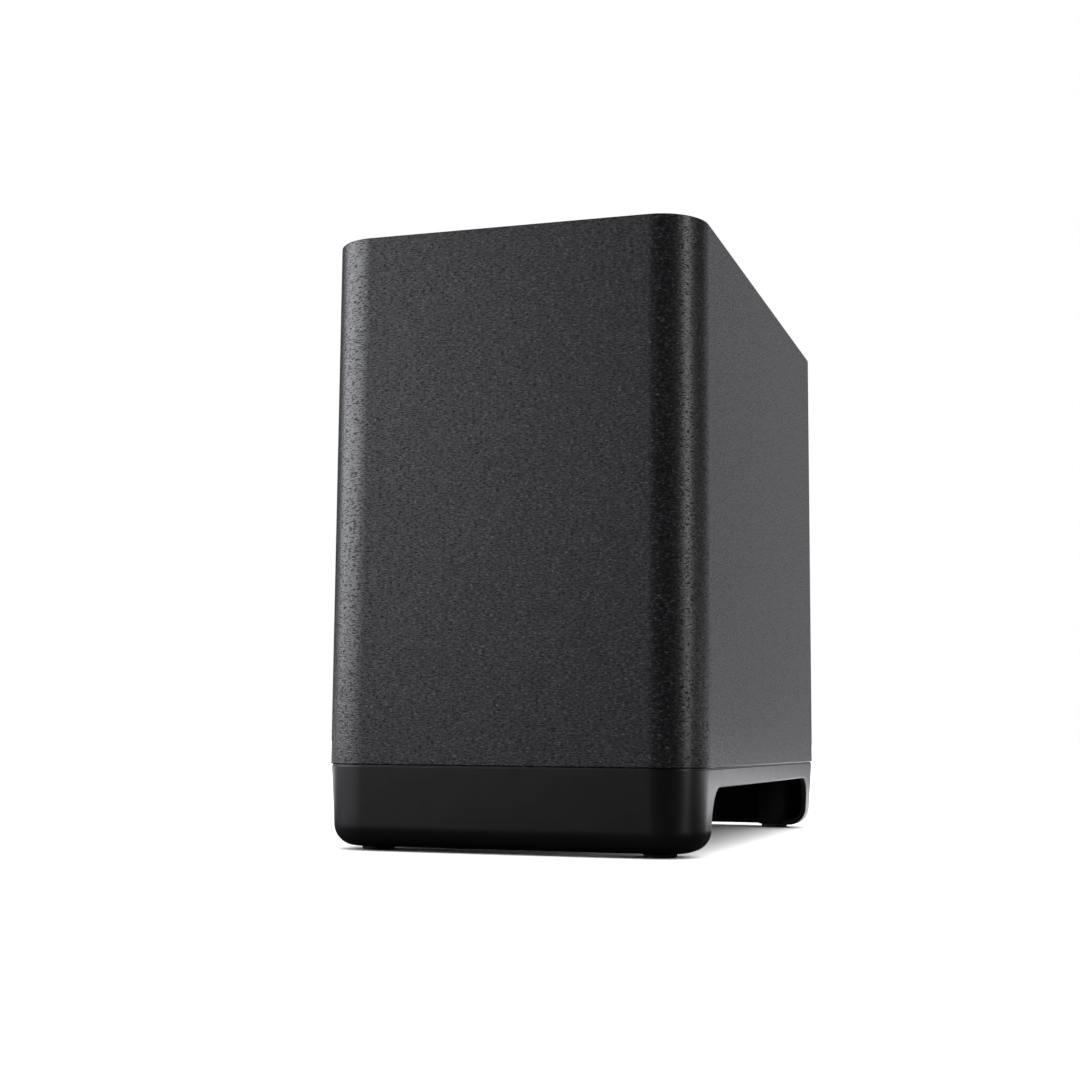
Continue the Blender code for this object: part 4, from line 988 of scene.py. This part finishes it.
def make_button():
    face = BUTTON_HIGH.y
    edge = BUTTON_EDGE_R
    hollow_r = BUTTON_R - BUTTON_RING
    disc_r, disc = BUTTON_R + BUTTON_FLANGE, FLANGE_FACE - BUTTON_FLANGE_T
    profile = [(0, BUTTON_LOW.y), (BUTTON_STEM_R, BUTTON_LOW.y), (BUTTON_STEM_R, disc)]
    profile += [(disc_r, disc), (disc_r, FLANGE_FACE), (BUTTON_R, FLANGE_FACE)]
    profile += arc((BUTTON_R - edge, face - edge), edge, 0, 90, 6)
    for i in range(7):
        share = 1 - i / 6
        profile.append((hollow_r * share, face - BUTTON_HOLLOW * (1 - share**2)))
    mesh = moved(turned(profile, BUTTON_ROUND), towards_rear(BUTTON_X, 0, BUTTON_Z))
    piece("button_cap", mesh, "black_plastic", "pairing_button", "button")


def make_lens():
    """A light guide with a domed face and a collar behind the panel."""
    tail, face = LENS_LOW.y, LENS_HIGH.y
    collar_r, collar = LENS_R + LENS_COLLAR, FLANGE_FACE - MM
    profile = [(0, tail), (LENS_R, tail), (LENS_R, collar), (collar_r, collar)]
    profile += [(collar_r, FLANGE_FACE), (LENS_R, FLANGE_FACE)]
    steps = 7
    for i in range(steps + 1):
        turn = math.radians(90 * i / steps)
        profile.append((LENS_R * math.cos(turn), face - LENS_DOME * (1 - math.sin(turn))))
    profile[-1] = (0, face)
    mesh = moved(turned(profile, SMALL_ROUND), towards_rear(LENS_X, 0, BUTTON_Z))
    piece("light_guide", mesh, "lens", "status_lens")


# Woofer

FLANGE_R = half_size("woofer_basket")[0]
FLANGE_T = 2 * MM
OPENING_R = FLANGE_R - 11 * MM
FRAME_WALL = 1.5 * MM
LIP_R = FLANGE_R - 17 * MM
ROLL_OUT_R = FLANGE_R - 18 * MM
ROLL_R = 6 * MM
ROLL_MID_R = ROLL_OUT_R - ROLL_R
ROLL_IN_R = ROLL_MID_R - ROLL_R
RUBBER_T = 0.8 * MM
CONE_EDGE_R = ROLL_IN_R - PLAY
CONE_LIP_R = ROLL_IN_R - 5 * MM
NECK_R = 18.4 * MM
CONE_DEPTH = 22.8 * MM
CONE_T = 1.1 * MM
CAP_R = half_size("woofer_dust_cap")[0]
CAP_RISE = 8 * MM
SPIDER_R = half_size("woofer_spider")[0]
SPIDER_T = 0.6 * MM
SPIDER_WAVES = 3
SPIDER_WAVE_DEPTH = 1.4 * MM
CONE_RINGS = 3
CONE_RING_DEPTH = 0.3 * MM  # half of it
WINDOWS = 6
WINDOW_SHARE = 0.6  # share of the frame's side that is open
WINDOW_R = 3 * MM
WOOFER_SCREW_R = 2 * MM
WOOFER_SCREW_HEAD = (3.8 * MM, 3 * MM)  # radius and thickness
LEAD_STEP = 1.5 * MM  # longest edge of a lead
LEAD_HALVINGS = 3
LEAD_BOND = 4 * MM  # length that moves with the cone


def make_basket():
    bottom, top = BASKET_LOW.z, BASKET_HIGH.z
    flange_top = bottom + FLANGE_T
    waist = flange_top + 3 * MM
    out_r = OPENING_R - 2 * MM
    ledge = SPIDER_HIGH.z + PLAY + 0.001 * MM  # a hair more, so that no faces meet
    ledge_top = ledge + FRAME_WALL
    seat_r = 46 * MM
    top_r = SPIDER_R + 5.8 * MM
    ring_z = top - FRAME_WALL
    inner = NECK_R + 5.7 * MM
    ledge_r = SPIDER_R - 4 * MM
    edge = 0.6 * MM
    profile = arc((FLANGE_R - edge, bottom + edge), edge, -90, 0, 4)
    profile += arc((FLANGE_R - edge, flange_top - edge), edge, 0, 90, 4)
    profile += [(out_r, flange_top), (out_r, waist), (top_r, ledge_top)]
    profile += [(seat_r, ledge_top), (seat_r, top), (inner, top), (inner, ring_z)]
    profile += [(seat_r - FRAME_WALL, ring_z), (seat_r - FRAME_WALL, ledge_top)]
    profile += [(ledge_r, ledge_top), (ledge_r, ledge), (top_r - 1.7 * MM, ledge)]
    profile += [(out_r - FRAME_WALL, waist - MM), (out_r - FRAME_WALL, flange_top - 0.5 * MM)]
    profile += [(LIP_R, flange_top - 0.5 * MM), (LIP_R, bottom)]
    basket = piece("basket_frame", turned(profile), "black_steel", "woofer_basket")
    tools = []
    low_z, high_z = waist + 3 * MM, ledge - 3 * MM
    mid_z = (low_z + high_z) / 2
    side_r = out_r + (top_r - out_r) * (mid_z - waist) / (ledge_top - waist)
    half = side_r * math.sin(math.pi / WINDOWS) * WINDOW_SHARE
    outline = rounded_rectangle(half, (high_z - low_z) / 2, WINDOW_R, 6)
    for i in range(WINDOWS):
        rings = [[(x, y, mid_z + z) for y, z in outline] for x in (ledge_r, FLANGE_R)]
        turn = Matrix.Rotation(math.tau * i / WINDOWS, 4, "Z")
        tools.append(cut(loft(rings), turn))
    for name in CORNER_NAMES.values():
        x, y, _ = middle("woofer_screw_" + name)
        bore = cylinder(WOOFER_SCREW_R + PLAY, bottom - MM, flange_top + MM, BORE_ROUND)
        tools.append(cut(bore, Matrix.Translation((x, y, 0))))
    shape(basket, tools)


def radial_blend(obj, fixed_r, moving_r):
    """Bends a piece that the diaphragm carries at its inner end and the basket at its outer end.
    """
    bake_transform(obj, "cabinet", "diaphragm", start=(fixed_r, 0, 0), end=(moving_r, 0, 0))
    weights = obj.data.attributes["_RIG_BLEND"].data
    for vertex, weight in zip(obj.data.vertices, weights):
        radius = math.hypot(vertex.co.x, vertex.co.y)
        share = max(0.0, min(1.0, (fixed_r - radius) / (fixed_r - moving_r)))
        weight.value = share * share * (3 - 2 * share)


def make_tinsel_lead(hand):
    """A limp lead on the CAD lead's route, whose bonded end follows the cone."""
    name = "tinsel_lead_" + hand
    mesh = bmesh.new()
    mesh.from_mesh(NODES[name].data)
    mesh.transform(NODES[name].matrix_world)
    for _ in range(LEAD_HALVINGS):
        long = [edge for edge in mesh.edges if edge.calc_length() > LEAD_STEP]
        if long:
            bmesh.ops.subdivide_edges(mesh, edges=long, cuts=1)
    inner_r = min(math.hypot(vertex.co.x, vertex.co.y) for vertex in mesh.verts)
    lead = piece("braid_" + hand, mesh, "copper", name, None, False)
    radial_blend(lead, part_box("woofer_terminal")[0].y, inner_r + LEAD_BOND)


def make_surround():
    top = ROLL_TOP
    centre = (ROLL_MID_R, top)
    glue_r = ROLL_OUT_R + 8 * MM
    profile = [(glue_r, top), (ROLL_OUT_R - RUBBER_T, top)]
    profile += arc(centre, ROLL_R - RUBBER_T, -6, -174, 22)
    low = top - RUBBER_T
    profile += [(ROLL_IN_R + RUBBER_T, top), (CONE_LIP_R, top), (CONE_LIP_R + 0.2 * MM, low)]
    profile += [(ROLL_IN_R - 1.2 * MM, low)]
    profile += arc(centre, ROLL_R, -170, -10, 22)
    profile += [(ROLL_OUT_R + 1.2 * MM, low), (glue_r - 0.3 * MM, low)]
    mesh = turned(profile, ROLL_ROUND)
    ring = piece("surround_roll", mesh, "rubber", "woofer_surround", None, False)
    radial_blend(ring, ROLL_OUT_R, ROLL_IN_R)


def cone_z(radius):
    """Height of the cone's lower face."""
    share = max(0.0, (radius - NECK_R) / (CONE_LIP_R - NECK_R))
    return CONE_TOP - CONE_T - CONE_DEPTH * share**0.9


def make_cone():
    """A curved cone with shallow pressed rings."""
    steps = 34
    radii = [NECK_R + (CONE_LIP_R - NECK_R) * i / steps for i in range(steps + 1)]

    def pressed(radius):
        inner, outer = CAP_R + 3 * MM, CONE_LIP_R - 3 * MM
        if not inner < radius < outer:
            return 0.0
        phase = math.tau * CONE_RINGS * (radius - inner) / (outer - inner)
        return CONE_RING_DEPTH * (1 - math.cos(phase))

    under = [(radius, cone_z(radius) + pressed(radius)) for radius in radii]
    over = [(radius, height + CONE_T) for radius, height in reversed(under)]
    rim = [(CONE_EDGE_R, BASKET_LOW.z), (CONE_EDGE_R, BASKET_LOW.z + CONE_T)]
    piece("cone", turned(under + rim + over), "cone_paper", "woofer_cone", "diaphragm", False)


def make_dust_cap():
    ball_r = (CAP_R**2 + CAP_RISE**2) / (2 * CAP_RISE)
    centre = cone_z(CAP_R) - PLAY - CAP_RISE + ball_r
    steps = 16
    radii = [CAP_R * i / steps for i in range(steps + 1)]
    under = [(r, centre - math.sqrt(ball_r**2 - r**2) - RUBBER_T) for r in radii]
    over = [(r, height + RUBBER_T) for r, height in reversed(under)]
    mesh = turned(under + over)
    piece("dust_cap", mesh, "cone_paper", "woofer_dust_cap", "diaphragm", False)


def make_spider():
    inner = NECK_R
    wave_end = SPIDER_R - 5 * MM
    level = SPIDER_LOW.z + 1.5 * MM
    steps = 60
    under = []
    for i in range(steps + 1):
        share = i / steps
        fade = min(1.0, 6 * share, 6 * (1 - share))
        wave = math.sin(math.tau * SPIDER_WAVES * share)
        height = level - SPIDER_WAVE_DEPTH * fade * wave
        under.append((inner + (wave_end - inner) * share, height))
    under.append((SPIDER_R, level))
    over = [(radius, height + SPIDER_T) for radius, height in reversed(under)]
    mesh = turned(under + over)
    ring = piece("spider_disc", mesh, "spider_cloth", "woofer_spider", None, False)
    radial_blend(ring, wave_end, inner + 2 * MM)


make_wrap()
make_plinth()
for hand in ("left", "right"):
    make_tinsel_lead(hand)
for corner in CORNERS:
    make_foot(*corner)
make_port()
make_panel()
for name in CORNER_SCREWS:
    node = "panel_screw_" + name
    x, _, z = middle(node)
    place = towards_front(x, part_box(node)[1].y - PANEL_SCREW_HEAD[1], z)
    make_screw("case_screw_" + name, node, PANEL_SCREW_HEAD, PANEL_SCREW_R, place, FLAT_CROWN)
make_inlet()
make_button()
make_lens()
make_basket()
make_surround()
make_cone()
make_dust_cap()
make_spider()
for name in CORNER_NAMES.values():
    node = "woofer_screw_" + name
    x, y, _ = middle(node)
    place = Matrix.Translation((x, y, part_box(node)[0].z + WOOFER_SCREW_HEAD[1]))
    make_screw("flange_screw_" + name, node, WOOFER_SCREW_HEAD, WOOFER_SCREW_R, place, DOMED_CROWN)


# Studio

FLOOR_HALF = 30
FLOOR_SEEN = 0.9  # the camera sees this reflectance; everything else meets the painted bounce below
FLOOR_BOUNCE_SHADE_AND_LIGHT = [(0.02, 0.016), (0.15, 0.92), (0.5, 0.98), (0.9, 0.15)]  # (y, reflectance): painted shade under and in front of the cabinet, a painted pool of light behind it
FLOOR_LIGHT = 6.0
FLOOR_LIGHT_SPREAD = 120  # degrees
FLOOR_LIGHT_FROM = (0.32, 0.15, 1)
ROOM_LEVEL = (0.01, 0.01, 0.01)
WALLS = [  # towards, cosines where the glow begins and is full, radiance
    ((0.2, 0.98, 0.05), (0.72, 0.95), (0.39, 0.385, 0.41)),
    ((-0.87, -0.48, 0.05), (0.64, 0.88), (2.4, 2.37, 2.53)),
    ((0, 0.2, 1), (0.75, 0.95), (0.5, 0.5, 0.5)),
]
COOL = (0.96, 1.0, 1.02)
CAMERA_AT = (0.26572, -0.9555, 0.05491)
CAMERA_YAW = math.radians(17.679)  # turned left from +Y
CAMERA_PITCH = math.radians(6.68)
CAMERA_ROLL = math.radians(0.476)
LENS_MM = 56.79
SENSOR_MM = 36


def make_floor():
    """Pale floor, lit to white, that throws little light back on the cabinet, and what it throws back is
    painted: shade under and in front of the cabinet, a pool of light behind it that fades far away.
    """
    half = FLOOR_HALF
    data = bpy.data.meshes.new("floor")
    corners = [(-half, -half, 0), (half, -half, 0), (half, half, 0), (-half, half, 0)]
    data.from_pydata(corners, [], [(0, 1, 2, 3)])
    floor = new_object("floor", data)
    material = bpy.data.materials.new("floor")
    material.use_nodes = True
    nodes, links = material.node_tree.nodes, material.node_tree.links
    nodes.clear()
    output = nodes.new("ShaderNodeOutputMaterial")
    seen = nodes.new("ShaderNodeBsdfDiffuse")
    seen.inputs["Color"].default_value = (FLOOR_SEEN, FLOOR_SEEN, FLOOR_SEEN, 1)
    bounced = nodes.new("ShaderNodeBsdfDiffuse")
    place = nodes.new("ShaderNodeTexCoord")
    split = nodes.new("ShaderNodeSeparateXYZ")
    # painted shade and light of the bounce, by position along y
    depth = nodes.new("ShaderNodeValToRGB")
    elements = depth.color_ramp.elements
    while len(elements) < len(FLOOR_BOUNCE_SHADE_AND_LIGHT):
        elements.new(0.5)
    for element, (position, grey) in zip(elements, FLOOR_BOUNCE_SHADE_AND_LIGHT):
        element.position = position
        element.color = (grey, 0.98 * grey, 1.02 * grey, 1)
    links.new(place.outputs["Object"], split.inputs["Vector"])
    links.new(split.outputs["Y"], depth.inputs["Fac"])
    links.new(depth.outputs["Color"], bounced.inputs["Color"])
    mix = nodes.new("ShaderNodeMixShader")
    path = nodes.new("ShaderNodeLightPath")
    links.new(path.outputs["Is Camera Ray"], mix.inputs["Fac"])
    links.new(bounced.outputs["BSDF"], mix.inputs[1])
    links.new(seen.outputs["BSDF"], mix.inputs[2])
    links.new(mix.outputs["Shader"], output.inputs["Surface"])
    data.materials.append(material)
    return floor


def make_world():
    """White behind the object for the camera. Light comes mostly from behind and above."""
    world = bpy.data.worlds.new("studio")
    bpy.context.scene.world = world
    world.use_nodes = True
    nodes, links = world.node_tree.nodes, world.node_tree.links
    nodes.clear()
    output = nodes.new("ShaderNodeOutputWorld")
    seen = nodes.new("ShaderNodeBackground")
    seen.inputs["Color"].default_value = (1, 1, 1, 1)
    place = nodes.new("ShaderNodeTexCoord")
    glows = []
    for towards, edge, level in WALLS:
        facing = nodes.new("ShaderNodeVectorMath")
        facing.operation = "DOT_PRODUCT"
        facing.inputs[1].default_value = Vector(towards).normalized()
        ramp = nodes.new("ShaderNodeValToRGB")
        ramp.color_ramp.interpolation = "EASE"
        for element, position, colour in zip(ramp.color_ramp.elements, edge, (ROOM_LEVEL, level)):
            element.position = position
            element.color = (*colour, 1)
        glow = nodes.new("ShaderNodeBackground")
        links.new(place.outputs["Generated"], facing.inputs[0])
        links.new(facing.outputs["Value"], ramp.inputs["Fac"])
        links.new(ramp.outputs["Color"], glow.inputs["Color"])
        glows.append(glow)
    room = glows[0].outputs["Background"]
    for glow in glows[1:]:
        both = nodes.new("ShaderNodeAddShader")
        links.new(room, both.inputs[0])
        links.new(glow.outputs["Background"], both.inputs[1])
        room = both.outputs["Shader"]
    mix = nodes.new("ShaderNodeMixShader")
    path = nodes.new("ShaderNodeLightPath")
    links.new(path.outputs["Is Camera Ray"], mix.inputs["Fac"])
    links.new(room, mix.inputs[1])
    links.new(seen.outputs["Background"], mix.inputs[2])
    links.new(mix.outputs["Shader"], output.inputs["Surface"])


def softbox(name, place, target, size, radiance, tint=(1, 1, 1)):
    """A rectangular light at place that faces target, with size (across, up) in metres."""
    data = bpy.data.lights.new(name, "AREA")
    data.shape = "RECTANGLE"
    data.size, data.size_y = size
    data.energy = radiance * math.pi * size[0] * size[1]
    data.color = tint
    light = new_object(name, data)
    light.location = place
    light.rotation_euler = (Vector(target) - Vector(place)).to_track_quat("-Z", "Y").to_euler()
    light.visible_camera = False


def make_floor_light(floor):
    """Even light from straight above that falls on the floor only; the cabinet still shades it."""
    data = bpy.data.lights.new("floor_light", "SUN")
    data.energy = FLOOR_LIGHT
    data.angle = math.radians(FLOOR_LIGHT_SPREAD)
    light = new_object("floor_light", data)
    light.rotation_euler = Vector(FLOOR_LIGHT_FROM).to_track_quat("Z", "Y").to_euler()
    receivers = bpy.data.collections.new("floor_only")
    receivers.objects.link(floor)
    light.light_linking.receiver_collection = receivers


def make_camera():
    data = bpy.data.cameras.new("camera")
    data.lens = LENS_MM
    data.sensor_width = SENSOR_MM
    camera = new_object("camera", data)
    turn = Matrix.Rotation(CAMERA_YAW, 4, "Z")
    tilt = Matrix.Rotation(math.pi / 2 + CAMERA_PITCH, 4, "X")
    roll = Matrix.Rotation(CAMERA_ROLL, 4, "Z")
    camera.matrix_world = Matrix.Translation(CAMERA_AT) @ turn @ tilt @ roll
    bpy.context.scene.camera = camera


make_camera()
make_floor_light(make_floor())
make_world()
softbox("left_softbox", (-0.64, -0.37, 0.42), (-0.09, -0.15, 0.3), (0.68, 0.68), 1.9, COOL)
softbox("right_strip", (0.97, -0.36, 0.45), (0.09, -0.16, 0.3), (0.14, 0.95), 6.5)
bpy.context.scene.view_settings.view_transform = "Standard"
